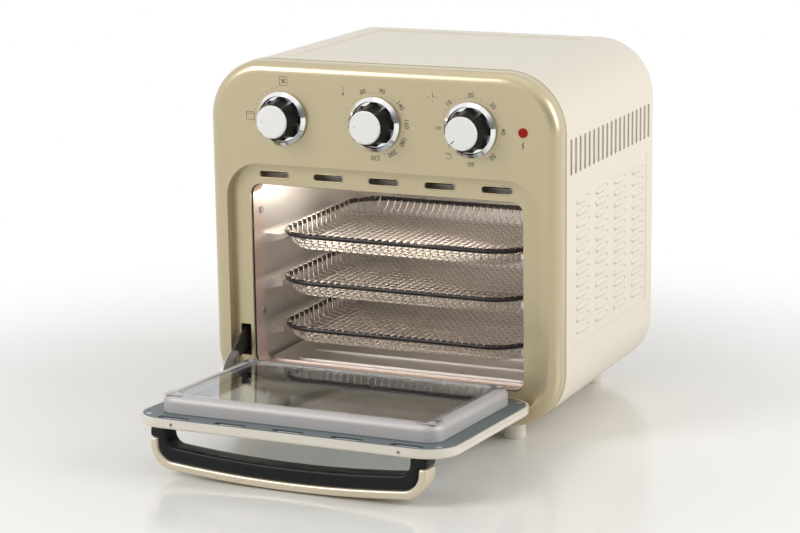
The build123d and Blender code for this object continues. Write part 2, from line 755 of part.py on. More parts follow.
def basket(rim_z):
    """Build one basket: a wire rim and a dished, pierced pan."""
    middle = BASKET_FRONT + BASKET_D / 2
    lip_w = BASKET_W - 2 * RIM_D + MESH_T
    lip_d = BASKET_D - 2 * RIM_D + MESH_T
    lip_r = BASKET_R - RIM_D + MESH_T / 2
    with BuildPart() as tray:
        for inset, drop, mode in ((0, 0, Mode.ADD), (MESH_T, MESH_T, Mode.SUBTRACT)):
            with BuildSketch(level(rim_z + drop)):
                with Locations((0, middle)):
                    RectangleRounded(lip_w - 2 * inset, lip_d - 2 * inset, lip_r - inset)
            with BuildSketch(level(rim_z - BASKET_DEPTH + drop)):
                with Locations((0, middle)):
                    RectangleRounded(
                        lip_w - 2 * (BASKET_SLOPE + inset),
                        lip_d - 2 * (BASKET_SLOPE + inset),
                        lip_r - BASKET_SLOPE - inset,
                    )
            loft(mode=mode)
        columns = int((lip_w - 2 * lip_r) / GRID_PITCH)
        rows = int((lip_d - 2 * BASKET_SLOPE - 2 * GRID_PITCH) / GRID_PITCH)
        with BuildSketch(level(rim_z - BASKET_DEPTH)):
            with Locations((0, middle)):
                with GridLocations(GRID_PITCH, GRID_PITCH, columns, rows):
                    Rectangle(GRID_PITCH - GRID_BAR, GRID_PITCH - GRID_BAR)
        extrude(amount=MESH_T, mode=Mode.SUBTRACT)
        with BuildSketch(level(rim_z)):
            with Locations((0, middle)):
                RectangleRounded(BASKET_W - RIM_D, BASKET_D - RIM_D, BASKET_R - RIM_D / 2)
        rim_path = tray.pending_faces[0].outer_wire()
        tray.pending_faces.clear()
        with BuildSketch(Plane(origin=rim_path @ 0, z_dir=rim_path % 0)):
            Circle(RIM_D / 2)
        sweep(path=rim_path)
    return tray.part


for rim_level, name in zip(RIM_LEVELS, ("lower", "middle", "upper")):
    save(basket(rim_level), f"{name}_basket")

# Guard under the fan
with BuildPart() as fan_guard:
    with BuildSketch(level(CAVITY_TOP)):
        with Locations((0, AIR_Y)):
            Circle(GUARD_D / 2)
    extrude(amount=-SHEET)
    slot_l = (GUARD_D / 2 - LAP - HUB_D) / 2
    with BuildSketch(level(CAVITY_TOP)):
        with Locations((0, AIR_Y)):
            with PolarLocations(HUB_D / 2 + slot_l / 2 + LAP, GUARD_SLOTS // 2):
                SlotOverall(slot_l, GUARD_SLOT_W)
            with PolarLocations(GUARD_D / 2 - 2 * LAP - slot_l / 2, GUARD_SLOTS):
                SlotOverall(slot_l, GUARD_SLOT_W)
    extrude(amount=-SHEET, mode=Mode.SUBTRACT)
save(fan_guard.part, "fan_guard")

# Pressed housing over the ceiling opening
housing_floor = CAVITY_TOP + SHEET
housing_top = housing_floor + HOUSING_H
heater_end_r = HEATER_R - 2 * HEATER_PITCH
heater_legs = [(HEATER_R, AIR_Y - HEATER_BEND), (heater_end_r, AIR_Y + HEATER_BEND)]
with BuildPart() as fan_housing:
    with BuildSketch(level(housing_floor)):
        with Locations((0, AIR_Y)):
            Circle(HOUSING_D / 2)
    extrude(amount=HOUSING_H)
    fillet(fan_housing.edges().group_by(Axis.Z)[-1], radius=HOUSING_FLANGE)
    with BuildSketch(level(housing_floor)):
        with Locations((0, AIR_Y)):
            Circle(HOUSING_D / 2 + HOUSING_FLANGE)
    extrude(amount=SHEET)
    with BuildSketch(level(housing_floor)):
        with Locations((0, AIR_Y)):
            Circle(HOUSING_D / 2 - SHEET)
    extrude(amount=HOUSING_H - HOUSING_FLANGE, mode=Mode.SUBTRACT)
    with BuildSketch(level(housing_top - HOUSING_FLANGE)):
        with Locations((0, AIR_Y)):
            Circle(HOUSING_D / 2 - HOUSING_FLANGE)
    extrude(amount=HOUSING_FLANGE - SHEET, mode=Mode.SUBTRACT)
    with BuildSketch(level(housing_floor)):
        with Locations((0, AIR_Y)):
            Circle(SHAFT_D / 2 + FIT)
        with Locations(*heater_legs):
            Circle(HEATER_TUBE / 2 + FIT)
    extrude(amount=HOUSING_H, mode=Mode.SUBTRACT)
save(fan_housing.part, "fan_housing")

# Sheathed heating element: two turns between two upright legs
with BuildPart() as heater:
    leg_top = HOUSING_H + HEATER_LEG - (HEATER_Z - housing_floor)
    bend = HEATER_BEND
    dip = bend * (1 - cos(pi / 4))
    with BuildLine(level(HEATER_Z)) as heater_path:
        Line((HEATER_R, AIR_Y - bend, leg_top), (HEATER_R, AIR_Y - bend, bend))
        ThreePointArc(
            (HEATER_R, AIR_Y - bend, bend),
            (HEATER_R, AIR_Y - bend + dip, dip),
            (HEATER_R, AIR_Y, 0),
        )
        reach = HEATER_R
        for turn in (1, -1, 1, -1):
            arc_r = abs(reach) - HEATER_PITCH / 4
            ThreePointArc(
                (reach, AIR_Y), (reach - turn * arc_r, AIR_Y + turn * arc_r),
                (reach - turn * 2 * arc_r, AIR_Y),
            )
            reach -= turn * 2 * arc_r
        ThreePointArc(
            (reach, AIR_Y, 0),
            (reach, AIR_Y + bend - dip, dip),
            (reach, AIR_Y + bend, bend),
        )
        Line((reach, AIR_Y + bend, bend), (reach, AIR_Y + bend, leg_top))
    heater_wire = heater_path.wire()
    with BuildSketch(Plane(origin=heater_wire @ 0, z_dir=heater_wire % 0)):
        Circle(HEATER_TUBE / 2)
    sweep(path=heater_wire)
save(heater.part, "upper_heater")

# Bladed wheel that drives the hot air
with BuildPart() as convection_fan:
    with BuildSketch(level(FAN_Z)):
        with Locations((0, AIR_Y)):
            Circle(HUB_D / 2)
            with PolarLocations(HUB_D / 2 + (FAN_D - HUB_D) / 4, BLADES):
                Rectangle((FAN_D - HUB_D) / 2 + BLADE_T, BLADE_T)
    extrude(amount=FAN_H)
    with BuildSketch(level(FAN_Z + FAN_H - BLADE_T)):
        with Locations((0, AIR_Y)):
            Circle(FAN_DISC_D / 2)
    extrude(amount=BLADE_T)
    with BuildSketch(level(FAN_Z)):
        with Locations((0, AIR_Y)):
            Circle(SHAFT_D / 2)
    extrude(amount=FAN_H, mode=Mode.SUBTRACT)
save(convection_fan.part, "convection_fan")

# Small wheel that cools the motor and the controls
cooler_z = housing_top + (BRACKET_RISE - SHEET - COOLER_H) / 2
with BuildPart() as cooling_fan:
    with BuildSketch(level(cooler_z)):
        with Locations((0, AIR_Y)):
            Circle(HUB_D / 2)
            with PolarLocations(HUB_D / 2 + (COOLER_D - HUB_D) / 4, BLADES):
                Rectangle((COOLER_D - HUB_D) / 2 + BLADE_T, BLADE_T)
    extrude(amount=COOLER_H)
    with BuildSketch(level(cooler_z)):
        with Locations((0, AIR_Y)):
            Circle(COOLER_DISC_D / 2)
    extrude(amount=BLADE_T)
    with BuildSketch(level(cooler_z)):
        with Locations((0, AIR_Y)):
            Circle(SHAFT_D / 2)
    extrude(amount=COOLER_H, mode=Mode.SUBTRACT)
save(cooling_fan.part, "cooling_fan")

# Bridge that carries the motor over the housing
with BuildPart() as motor_bracket:
    with BuildSketch(level(housing_top + BRACKET_RISE)):
        with Locations((0, AIR_Y)):
            Rectangle(BRACKET_W, BRACKET_SPAN)
            Circle(SHAFT_D / 2 + 2 * FIT, mode=Mode.SUBTRACT)
    extrude(amount=-SHEET)
    with BuildSketch(level(housing_top)):
        with Locations((0, AIR_Y)):
            with GridLocations(0, BRACKET_SPAN - SHEET, 1, 2):
                Rectangle(BRACKET_W, SHEET)
    extrude(amount=BRACKET_RISE)
save(motor_bracket.part, "motor_bracket")

# Motor and its spindle
motor_z = housing_top + BRACKET_RISE
with BuildPart() as fan_motor:
    with BuildSketch(level(motor_z)):
        with Locations((0, AIR_Y)):
            Circle(MOTOR_D / 2)
    extrude(amount=MOTOR_H)
    fillet(fan_motor.edges().group_by(Axis.Z)[-1], radius=LAP)
    with BuildSketch(level(motor_z)):
        with Locations((0, AIR_Y)):
            Circle(SHAFT_D / 2 + RUN_GAP)
    extrude(amount=MOTOR_H - LAP, mode=Mode.SUBTRACT)
save(fan_motor.part, "fan_motor")

with BuildPart() as fan_shaft:
    with BuildSketch(level(FAN_Z)):
        with Locations((0, AIR_Y)):
            Circle(SHAFT_D / 2)
    extrude(amount=motor_z + MOTOR_H - LAP - FIT - FAN_Z)
save(fan_shaft.part, "fan_shaft")

# Plate behind the front that carries the three controls
plate_back = PLATE_Y + PLATE_T
with BuildPart() as control_plate:
    with BuildSketch(facing(PLATE_Y)):
        with Locations((plate_x, KNOB_Z)):
            RectangleRounded(PLATE_W, PLATE_H, BOSS_INSET)
        with Locations(*[(x, KNOB_Z) for x in knob_xs]):
            Circle(STEM_D / 2 + FIT, mode=Mode.SUBTRACT)
    extrude(amount=-PLATE_T)
save(control_plate.part, "control_plate")


def control_body(x, outline, depth):
    """Build the body of a control behind the plate, with a bore for its stem."""
    with BuildPart() as body:
        with BuildSketch(facing(plate_back)):
            with Locations((x, KNOB_Z)):
                add(outline)
        extrude(amount=-depth)
        with BuildSketch(facing(plate_back)):
            with Locations((x, KNOB_Z)):
                Circle(STEM_D / 2 + RUN_GAP)
        extrude(amount=-(STEM_HOLD + FIT), mode=Mode.SUBTRACT)
    return body.part


save(control_body(knob_xs[0], Rectangle(SWITCH_W, SWITCH_W), SWITCH_D), "function_switch")
save(control_body(knob_xs[1], Circle(THERMOSTAT_W / 2), THERMOSTAT_D), "thermostat")
save(control_body(knob_xs[2], Circle(TIMER_W / 2), TIMER_D), "timer")


def knob_axis(x):
    """Plane through a knob's axis: radius across, distance out of the front upwards."""
    return Plane(origin=(x, FRONT, FOOT_H + KNOB_Z), x_dir=(1, 0, 0), z_dir=(0, 0, -1))


skirt_back = KNOB_GAP
grip_back = skirt_back + SKIRT_PLATE
grip_front = grip_back + GRIP_L
cap_front = grip_front + CAP_T
stem_front = skirt_back + STEM_GRIP


def turned(x, points, bore, bore_end):
    """Turn a profile about a knob's axis and bore it from behind."""
    with BuildPart() as piece:
        with BuildSketch(knob_axis(x)):
            with BuildLine() as edge:
                Polyline(*points, close=True)
            make_face(edge.edges())
        revolve(axis=Axis((x, FRONT, FOOT_H + KNOB_Z), (0, -1, 0)))
        if bore:
            with BuildSketch(facing(0)):
                with Locations((x, KNOB_Z)):
                    Circle(bore / 2)
            extrude(amount=bore_end, mode=Mode.SUBTRACT)
    return piece.part


def knob_grip(x):
    """Build the fluted cone that the fingers hold."""
    with BuildPart() as grip:
        with BuildSketch(facing(-grip_back)):
            with Locations((x, KNOB_Z)):
                Circle(GRIP_BASE_D / 2)
                with PolarLocations(GRIP_BASE_D / 2 + FLUTE_R - FLUTE_CUT, FLUTES, 180 / FLUTES):
                    Circle(FLUTE_R, mode=Mode.SUBTRACT)
        extrude(amount=GRIP_L, taper=degrees(atan2(GRIP_BASE_D - GRIP_TOP_D, 2 * GRIP_L)))
        with BuildSketch(facing(-grip_back)):
            with Locations((x, KNOB_Z)):
                Circle(STEM_D / 2)
        extrude(amount=stem_front - grip_back, mode=Mode.SUBTRACT)
    return grip.part


for x, name in zip(knob_xs, ("function", "temperature", "timer")):
    skirt_points = [
        (0, skirt_back), (SKIRT_D / 2 - SKIRT_LIP, skirt_back), (SKIRT_D / 2, skirt_back + SKIRT_LIP),
        (SKIRT_D / 2, skirt_back + SKIRT_LIP + SKIRT_ROUND),
        (GRIP_BASE_D / 2 + FIT + SKIRT_ROUND, skirt_back + SKIRT_T),
        (GRIP_BASE_D / 2 + FIT, grip_back), (0, grip_back),
    ]
    cap_points = [
        (0, grip_front), (CAP_D / 2, grip_front), (CAP_D / 2, cap_front - CAP_ROUND),
        (CAP_D / 2 - CAP_ROUND, cap_front), (0, cap_front),
    ]
    save(turned(x, skirt_points, STEM_D, grip_back), f"{name}_knob_skirt")
    save(knob_grip(x), f"{name}_knob_grip")
    save(turned(x, cap_points, 0, 0), f"{name}_knob_cap")
    with BuildPart() as stem:
        with BuildSketch(facing(-stem_front)):
            with Locations((x, KNOB_Z)):
                Circle(STEM_D / 2)
        extrude(amount=-(stem_front + plate_back + STEM_HOLD))
    save(stem.part, f"{name}_stem")

# Pilot lamp
with BuildPart() as pilot_lamp:
    with BuildSketch(facing(-LAMP_FLANGE)):
        with Locations((LAMP_X, KNOB_Z)):
            Circle(LAMP_D / 2 + LAMP_RIM)
    extrude(amount=-LAMP_FLANGE)
    fillet(pilot_lamp.edges().group_by(Axis.Y)[0], radius=LAMP_EDGE_R)
    with BuildSketch(facing(0)):
        with Locations((LAMP_X, KNOB_Z)):
            Circle(LAMP_D / 2)
    extrude(amount=-LAMP_L)
save(pilot_lamp.part, "pilot_lamp")


def door_outline(inset, mode=Mode.ADD):
    """Draw the outline of the door, drawn in by an inset."""
    rounded(
        DOOR_W - 2 * inset, DOOR_LOW + inset, DOOR_TOP - inset,
        DOOR_R - inset, DOOR_R - inset, mode=mode,
    )


def box_outline(inset, mode=Mode.ADD):
    """Draw the raised box of the door, drawn in by an inset."""
    rounded(
        BOX_W - 2 * inset, BOX_LOW + inset, BOX_TOP - inset,
        BOX_R - inset, BOX_R - inset, mode=mode,
    )


def pocket_outline(grow, mode=Mode.ADD):
    """Draw the glass pocket of the raised box, grown outwards."""
    rounded(
        BOX_W - 2 * (RING_W - grow), BOX_LOW + RING_W - grow, BOX_TOP - RING_W + grow,
        WINDOW_R + grow, WINDOW_R + grow, mode=mode,
    )


def door_edge(along):
    """Plane square to the open door's length: X across, then inwards."""
    normal = (0, -cos(radians(TILT)), sin(radians(TILT)))
    pivot = (0, FRONT + PIVOT_Y, FOOT_H + PIVOT_Z)
    return Plane(origin=pivot, x_dir=(1, 0, 0), z_dir=normal).offset(along)


def trim_heel():
    """Round the lower inner edge of a door piece about the pivot."""
    with BuildSketch(door_side(DOOR_W / 2)) as corner:
        with Locations((-DOOR_IN, DOOR_IN)):
            Rectangle(2 * DOOR_IN, 2 * DOOR_IN)
        Circle(HEEL_R, mode=Mode.SUBTRACT)
    extrude(corner.sketch, amount=DOOR_W, mode=Mode.SUBTRACT)


box_middle = (BOX_LOW + BOX_TOP) / 2
box_half = (BOX_TOP - BOX_LOW) / 2
clip_screws = [
    (across * (BOX_W / 2 - CLIP_SCREW_INSET), box_middle + up * (box_half - CLIP_SCREW_INSET))
    for across in (-1, 1)
    for up in (-1, 1)
]
outward = Axis((0, 0, 0), (0, -sin(radians(TILT)), -cos(radians(TILT))))
post_spots = [
    (across * (DOOR_W / 2 - POST_INSET), along)
    for across in (-1, 1)
    for along in (DOOR_LOW + POST_RISE, DOOR_TOP - POST_RISE)
]
skin_in = DOOR_OUT - DOOR_SKIN
flange_out = SHEET - DOOR_IN
leg_x = (HANDLE_W - HANDLE_LEG) / 2
leg_low = DOOR_TOP - HANDLE_TOP_GAP - HANDLE_H
handle_spots = [(turn * leg_x, leg_low + HANDLE_H / 2) for turn in (-1, 1)]

# Moulded outer frame of the door
with BuildPart() as door_frame:
    with BuildSketch(door(-DOOR_IN)):
        door_outline(0)
    extrude(amount=DOOR_T)
    fillet(door_frame.faces().sort_by(outward)[-1].edges(), radius=TOE_R)
    with BuildSketch(door(-DOOR_IN)):
        door_outline(FRAME_WALL)
    extrude(amount=DOOR_T - DOOR_SKIN, mode=Mode.SUBTRACT)
    with BuildSketch(door(flange_out)):
        with Locations(*post_spots):
            Circle(POST_D / 2)
    extrude(amount=skin_in - flange_out)
    with BuildSketch(door(flange_out)):
        door_outline(FRAME_WALL / 2)
        Rectangle(2 * BARREL_X, 2 * DOOR_H, mode=Mode.SUBTRACT)
        with Locations((0, DOOR_H + BARREL_RISE)):
            Rectangle(DOOR_W, 2 * DOOR_H, mode=Mode.SUBTRACT)
    extrude(amount=skin_in - flange_out)
    with BuildSketch(door(DOOR_OUT)):
        with Locations((0, box_middle)):
            RectangleRounded(OUTER_WINDOW_W, OUTER_WINDOW_H, WINDOW_R)
        with Locations(*handle_spots):
            Circle(SCREW_SHANK / 2)
    extrude(amount=-DOOR_SKIN, mode=Mode.SUBTRACT)
    with BuildSketch(door(flange_out)):
        with Locations(*post_spots):
            Circle(SCREW_SHANK / 2)
    extrude(amount=SCREW_L, mode=Mode.SUBTRACT)
    with BuildSketch(door_edge(DOOR_TOP)):
        with Locations((-RIM_HOLE_X, RIM_HOLE_IN), (RIM_HOLE_X, RIM_HOLE_IN)):
            Circle(RIM_HOLE_D / 2)
    extrude(amount=-FRAME_WALL, mode=Mode.SUBTRACT)
    for turn in (-1, 1):
        with BuildSketch(door_side(turn * DOOR_W / 2)):
            Circle(PIN_D / 2 + RUN_GAP)
        extrude(amount=turn * (DOOR_W / 2 - PIN_IN + FIT), mode=Mode.SUBTRACT)
    trim_heel()
save(door_frame.part, "door_frame")


def box_solid(inset):
    """Build the raised box as a filled form, drawn in by an inset."""
    with BuildPart() as form:
        with BuildSketch(door(flange_out)):
            box_outline(inset)
        extrude(amount=inset - BOX_H - SHEET)
        fillet(form.faces().sort_by(outward)[0].edges(), radius=BOX_EDGE_R - inset)
    return form.part


pocket_d = GLASS_T + GLASS_SINK
box_face = -DOOR_IN - BOX_H
# Pressed inner panel of the door
with BuildPart() as door_inner_panel:
    with BuildSketch(door(-DOOR_IN)):
        door_outline(FRAME_WALL + FIT)
    extrude(amount=SHEET)
    add(box_solid(0))
    add(box_solid(SHEET), mode=Mode.SUBTRACT)
    with BuildSketch(door(box_face)):
        pocket_outline(SHEET)
    extrude(amount=pocket_d + SHEET)
    with BuildSketch(door(box_face)):
        pocket_outline(0)
    extrude(amount=pocket_d, mode=Mode.SUBTRACT)
    with BuildSketch(door(box_face)):
        pocket_outline(-LEDGE)
    extrude(amount=pocket_d + SHEET, mode=Mode.SUBTRACT)
    with BuildSketch(door(-DOOR_IN)):
        with Locations((0, VENT_Z - PIVOT_Z)):
            with GridLocations(VENT_PITCH, 0, VENT_COUNT, 1):
                SlotOverall(VENT_W, VENT_H)
        with Locations(*post_spots):
            Circle(SCREW_SHANK / 2)
    extrude(amount=SHEET, mode=Mode.SUBTRACT)
    with BuildSketch(door(box_face)):
        with Locations(*clip_screws):
            Circle(SCREW_SHANK / 2)
    extrude(amount=SCREW_L, mode=Mode.SUBTRACT)
    trim_heel()
save(door_inner_panel.part, "door_inner_panel")

# Panes
with BuildPart() as door_inner_glass:
    with BuildSketch(door(box_face + GLASS_SINK)):
        pocket_outline(-FIT)
    extrude(amount=GLASS_T)
save(door_inner_glass.part, "door_inner_glass")

with BuildPart() as door_outer_glass:
    with BuildSketch(door(skin_in)):
        with Locations((0, box_middle)):
            RectangleRounded(
                OUTER_WINDOW_W + 2 * LEDGE, OUTER_WINDOW_H + 2 * LEDGE, WINDOW_R + LEDGE
            )
    extrude(amount=-OUTER_GLASS_T)
save(door_outer_glass.part, "door_outer_glass")

# Corner clips that hold the inner pane
with BuildPart() as glass_clips:
    for across in (-1, 1):
        for up in (-1, 1):
            corner_x = across * (BOX_W / 2 - CLIP_INSET)
            corner_h = box_middle + up * (box_half - CLIP_INSET)
            with BuildSketch(door(box_face)):
                with BuildLine() as edge:
                    FilletPolyline(
                        (corner_x, corner_h),
                        (corner_x - across * CLIP, corner_h),
                        (corner_x, corner_h - up * CLIP),
                        radius=CLIP_R,
                        close=True,
                    )
                make_face(edge.edges())
            extrude(amount=-CLIP_T)
    with BuildSketch(door(box_face)):
        with Locations(*clip_screws):
            Circle(SCREW_SHANK / 2)
    extrude(amount=-CLIP_T, mode=Mode.SUBTRACT)
save(glass_clips.part, "glass_clips")

# Screws of the door
with BuildPart() as door_screws:
    with BuildSketch(door(-DOOR_IN)):
        with Locations(*post_spots):
            Circle(SCREW_D / 2)
    extrude(amount=-LOW_HEAD)
    with BuildSketch(door(-DOOR_IN)):
        with Locations(*post_spots):
            Circle(SCREW_SHANK / 2)
    extrude(amount=SCREW_L)
    with BuildSketch(door(box_face - CLIP_T)):
        with Locations(*clip_screws):
            Circle(SCREW_D / 2)
    extrude(amount=-SCREW_HEAD)
    with BuildSketch(door(box_face - CLIP_T)):
        with Locations(*clip_screws):
            Circle(SCREW_SHANK / 2)
    extrude(amount=SCREW_L)
save(door_screws.part, "door_screws")

# Pins that the door turns on
with BuildPart() as hinge_pins:
    for turn in (-1, 1):
        with BuildSketch(side(turn * PIN_IN)):
            with Locations((PIVOT_Y, PIVOT_Z)):
                Circle(PIN_D / 2)
        extrude(amount=turn * (PIN_OUT - PIN_IN))
save(hinge_pins.part, "hinge_pins")

# Upright ear on the door for its link
with BuildPart() as hinge_ear:
    with BuildSketch(door_side(LINK_SIDE * EAR_IN)):
        with BuildLine() as edge:
            Polyline(
                (RIVET_H, RIVET_IN - EAR_BOSS / 2), (EAR_ROOT, DOOR_IN), (EAR_TIP, DOOR_IN),
                (EAR_TIP - FIT, DOOR_IN + EAR_END),
            )
            ThreePointArc(
                (EAR_TIP - FIT, DOOR_IN + EAR_END),
                ((EAR_TIP + EAR_TOP_H) / 2 + EAR_BULGE, (DOOR_IN + EAR_TOP_IN) / 2 + EAR_BULGE),
                (EAR_TOP_H, EAR_TOP_IN),
            )
            Line((EAR_TOP_H, EAR_TOP_IN), (RIVET_H, RIVET_IN + EAR_BOSS / 2))
            Line((RIVET_H, RIVET_IN + EAR_BOSS / 2), (RIVET_H, RIVET_IN - EAR_BOSS / 2))
        make_face(edge.edges())
        with Locations((RIVET_H, RIVET_IN)):
            Circle(EAR_BOSS / 2)
        Circle(EAR_NOTCH_R, mode=Mode.SUBTRACT)
        with Locations((RIVET_H, RIVET_IN)):
            Circle(RIVET_D / 2, mode=Mode.SUBTRACT)
    extrude(amount=-LINK_SIDE * EAR_T)
    with BuildSketch(door(-DOOR_IN)):
        with Locations((LINK_SIDE * (EAR_IN - EAR_FOOT / 2), (EAR_ROOT + EAR_TIP) / 2)):
            Rectangle(EAR_FOOT, EAR_TIP - EAR_ROOT - 2 * SHEET)
    extrude(amount=-SHEET)
save(hinge_ear.part, "hinge_ear")

# Rivet that joins the link to the ear
with BuildPart() as hinge_rivet:
    rivet_end = LEVER_IN + LEVER_T
    for start, length, radius in (
        (EAR_IN, rivet_end - EAR_IN, RIVET_D / 2),
        (EAR_IN - RIVET_HEAD_T, RIVET_HEAD_T, RIVET_HEAD / 2),
        (rivet_end, RIVET_HEAD_T, RIVET_HEAD / 2),
    ):
        with BuildSketch(door_side(LINK_SIDE * start)):
            with Locations((RIVET_H, RIVET_IN)):
                Circle(radius)
        extrude(amount=-LINK_SIDE * length)
save(hinge_rivet.part, "hinge_rivet")

# Link that swings out of the slot with the door
with BuildPart() as hinge_lever:
    with BuildSketch(lever_side(LINK_SIDE * LEVER_IN)):
        with BuildLine() as edge:
            ThreePointArc(
                (0, LEVER_EYE / 2), ((LEVER_NOSE + LEVER_NECK) / 2, LEVER_W / 2),
                (LEVER_NOSE + LEVER_NECK, TAIL_W / 2),
            )
            Polyline(
                (LEVER_NOSE + LEVER_NECK, TAIL_W / 2), (LEVER_L, TAIL_W / 2),
                (LEVER_L, -TAIL_W / 2), (LEVER_NOSE + LEVER_NECK, -TAIL_W / 2),
                (LEVER_NECK, -LEVER_W / 2), (LEVER_NOSE, -LEVER_W / 2), (0, -LEVER_EYE / 2),
                (0, LEVER_EYE / 2),
            )
        make_face(edge.edges())
        Circle(LEVER_EYE / 2)
        with Locations((LEVER_L, 0)):
            Circle(TAIL_W / 2)
            Circle(TAIL_HOLE / 2, mode=Mode.SUBTRACT)
        Circle(RIVET_D / 2 + RUN_GAP, mode=Mode.SUBTRACT)
    extrude(amount=LINK_SIDE * LEVER_T)
save(hinge_lever.part, "hinge_lever")

# Spring that pulls on the link
spring_x = LEVER_IN + LEVER_T / 2
ring_r = SPRING_RING / 2
with BuildPart() as door_spring:
    eye = (LINK_SIDE * spring_x, FRONT + TAIL_Y + ring_r, FOOT_H + TAIL_Z)
    post = (LINK_SIDE * spring_x, FRONT + SPRING_BACK, FOOT_H + TAIL_Z)
    with Locations(Location(eye)):
        Torus(ring_r, SPRING_WIRE / 2)
    with Locations(Location(post, (0, 90, 0))):
        Torus(ring_r, SPRING_WIRE / 2)
    spring_front = TAIL_Y + SPRING_RING
    spring_end = SPRING_BACK - ring_r
    with BuildSketch(facing(spring_front)):
        with Locations((LINK_SIDE * spring_x, TAIL_Z)):
            Circle(SPRING_D / 2)
    extrude(amount=spring_front - spring_end)
save(door_spring.part, "door_spring")

# Post on the cooking space that holds the spring
with BuildPart() as spring_anchor:
    post_end = spring_x + SPRING_D / 2 - ANCHOR_CAP
    for start, end, radius in (
        (CAVITY_W / 2 - ANCHOR_CAP, CAVITY_W / 2, ANCHOR_HEAD / 2),
        (CAVITY_W / 2, CAVITY_W / 2 + SHEET, ANCHOR_SHANK / 2),
        (CAVITY_W / 2 + SHEET, post_end, ANCHOR_D / 2),
        (post_end, post_end + ANCHOR_CAP, ANCHOR_HEAD / 2),
    ):
        with BuildSketch(side(LINK_SIDE * start)):
            with Locations((SPRING_BACK, TAIL_Z)):
                Circle(radius)
        extrude(amount=LINK_SIDE * (end - start))
save(spring_anchor.part, "spring_anchor")


def handle_outline(side_inset, low_inset, top, mode=Mode.ADD):
    """Draw the bowed outline of the handle, drawn in at its sides and its bar."""
    half = HANDLE_W / 2 - side_inset
    low = low_inset - DOOR_OUT - HANDLE_REACH
    radius = max(HANDLE_R - low_inset, HANDLE_INNER_R)
    turn_in = radius * (1 - cos(pi / 4))
    with BuildLine() as edge:
        Polyline((-half, low + radius), (-half, top), (half, top), (half, low + radius))
        ThreePointArc(
            (half, low + radius), (half - turn_in, low + turn_in), (half - radius, low)
        )
        ThreePointArc((half - radius, low), (0, low - HANDLE_BOW), (radius - half, low))
        ThreePointArc(
            (radius - half, low), (turn_in - half, low + turn_in), (-half, low + radius)
        )
    make_face(edge.edges(), mode=mode)


cover_top = -DOOR_OUT - COVER_START
# Grip of the handle, with its two legs
with BuildPart() as handle_grip:
    with BuildSketch(door_edge(leg_low)):
        handle_outline(COVER_T, COVER_T, -DOOR_OUT)
        with Locations((0, -DOOR_OUT - COVER_START / 2)):
            Rectangle(HANDLE_W, COVER_START)
        handle_outline(HANDLE_LEG, HANDLE_BAR, -DOOR_OUT, mode=Mode.SUBTRACT)
    extrude(amount=HANDLE_H)
    with BuildSketch(door(DOOR_OUT)):
        with Locations(*handle_spots):
            Circle(SCREW_SHANK / 2)
    extrude(amount=HANDLE_SCREW_L, mode=Mode.SUBTRACT)
save(handle_grip.part, "handle_grip")

# Cover strip round the outside of the handle
with BuildPart() as handle_cover:
    with BuildSketch(door_edge(leg_low)):
        handle_outline(0, 0, cover_top)
        handle_outline(COVER_T, COVER_T, cover_top, mode=Mode.SUBTRACT)
    extrude(amount=HANDLE_H)
save(handle_cover.part, "handle_cover")

# Screws that hold the handle from inside the door
with BuildPart() as handle_screws:
    with BuildSketch(door(skin_in)):
        with Locations(*handle_spots):
            Circle(SCREW_D / 2)
    extrude(amount=-SCREW_HEAD)
    with BuildSketch(door(skin_in)):
        with Locations(*handle_spots):
            Circle(SCREW_SHANK / 2)
    extrude(amount=DOOR_SKIN + HANDLE_SCREW_L)
save(handle_screws.part, "handle_screws")


def case_screws(plane, spots):
    """Add screws with their heads behind a plane and their shanks before it."""
    with BuildSketch(plane) as heads:
        with Locations(*spots):
            Circle(CASE_SCREW_D / 2)
    extrude(heads.sketch, amount=-CASE_SCREW_HEAD)
    with BuildSketch(plane) as shanks:
        with Locations(*spots):
            Circle(CASE_SHANK / 2)
    extrude(shanks.sketch, amount=CASE_SCREW_L)


# Screws of the rear sheet, the base plate and the cooking space
with BuildPart() as body_screws:
    case_screws(facing(BODY_D), rear_screws)
    case_screws(level(0), base_screws)
    for turn in (-1, 1):
        with BuildSketch(side(turn * MOUTH_W / 2)):
            with Locations(*[(WALL_SCREW_Y, z) for z in WALL_SCREW_ZS]):
                Circle(SCREW_D / 2)
        extrude(amount=-turn * SCREW_HEAD)
        with BuildSketch(side(turn * MOUTH_W / 2)):
            with Locations(*[(WALL_SCREW_Y, z) for z in WALL_SCREW_ZS]):
                Circle(SCREW_SHANK / 2)
        extrude(amount=turn * SCREW_L)
save(body_screws.part, "body_screws")
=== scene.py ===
"""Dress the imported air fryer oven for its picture: finishes, fine detail, light and camera."""

import logging
import math
from dataclasses import dataclass
from enum import Enum

import bmesh
import bpy
from mathutils import Matrix, Vector


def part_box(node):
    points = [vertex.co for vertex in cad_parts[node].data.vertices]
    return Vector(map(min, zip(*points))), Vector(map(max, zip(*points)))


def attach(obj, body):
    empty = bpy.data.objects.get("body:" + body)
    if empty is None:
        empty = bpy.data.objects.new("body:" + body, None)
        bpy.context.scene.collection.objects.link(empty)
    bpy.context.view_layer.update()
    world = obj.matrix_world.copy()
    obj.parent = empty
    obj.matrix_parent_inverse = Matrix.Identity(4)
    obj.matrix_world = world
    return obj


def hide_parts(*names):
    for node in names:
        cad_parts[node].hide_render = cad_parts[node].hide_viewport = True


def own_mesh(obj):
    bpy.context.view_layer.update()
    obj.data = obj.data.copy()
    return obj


Pair = tuple[float, float]
Triple = tuple[float, float, float]
Socket = bpy.types.NodeSocket
Mesh = bpy.types.Mesh
Form = bmesh.types.BMesh

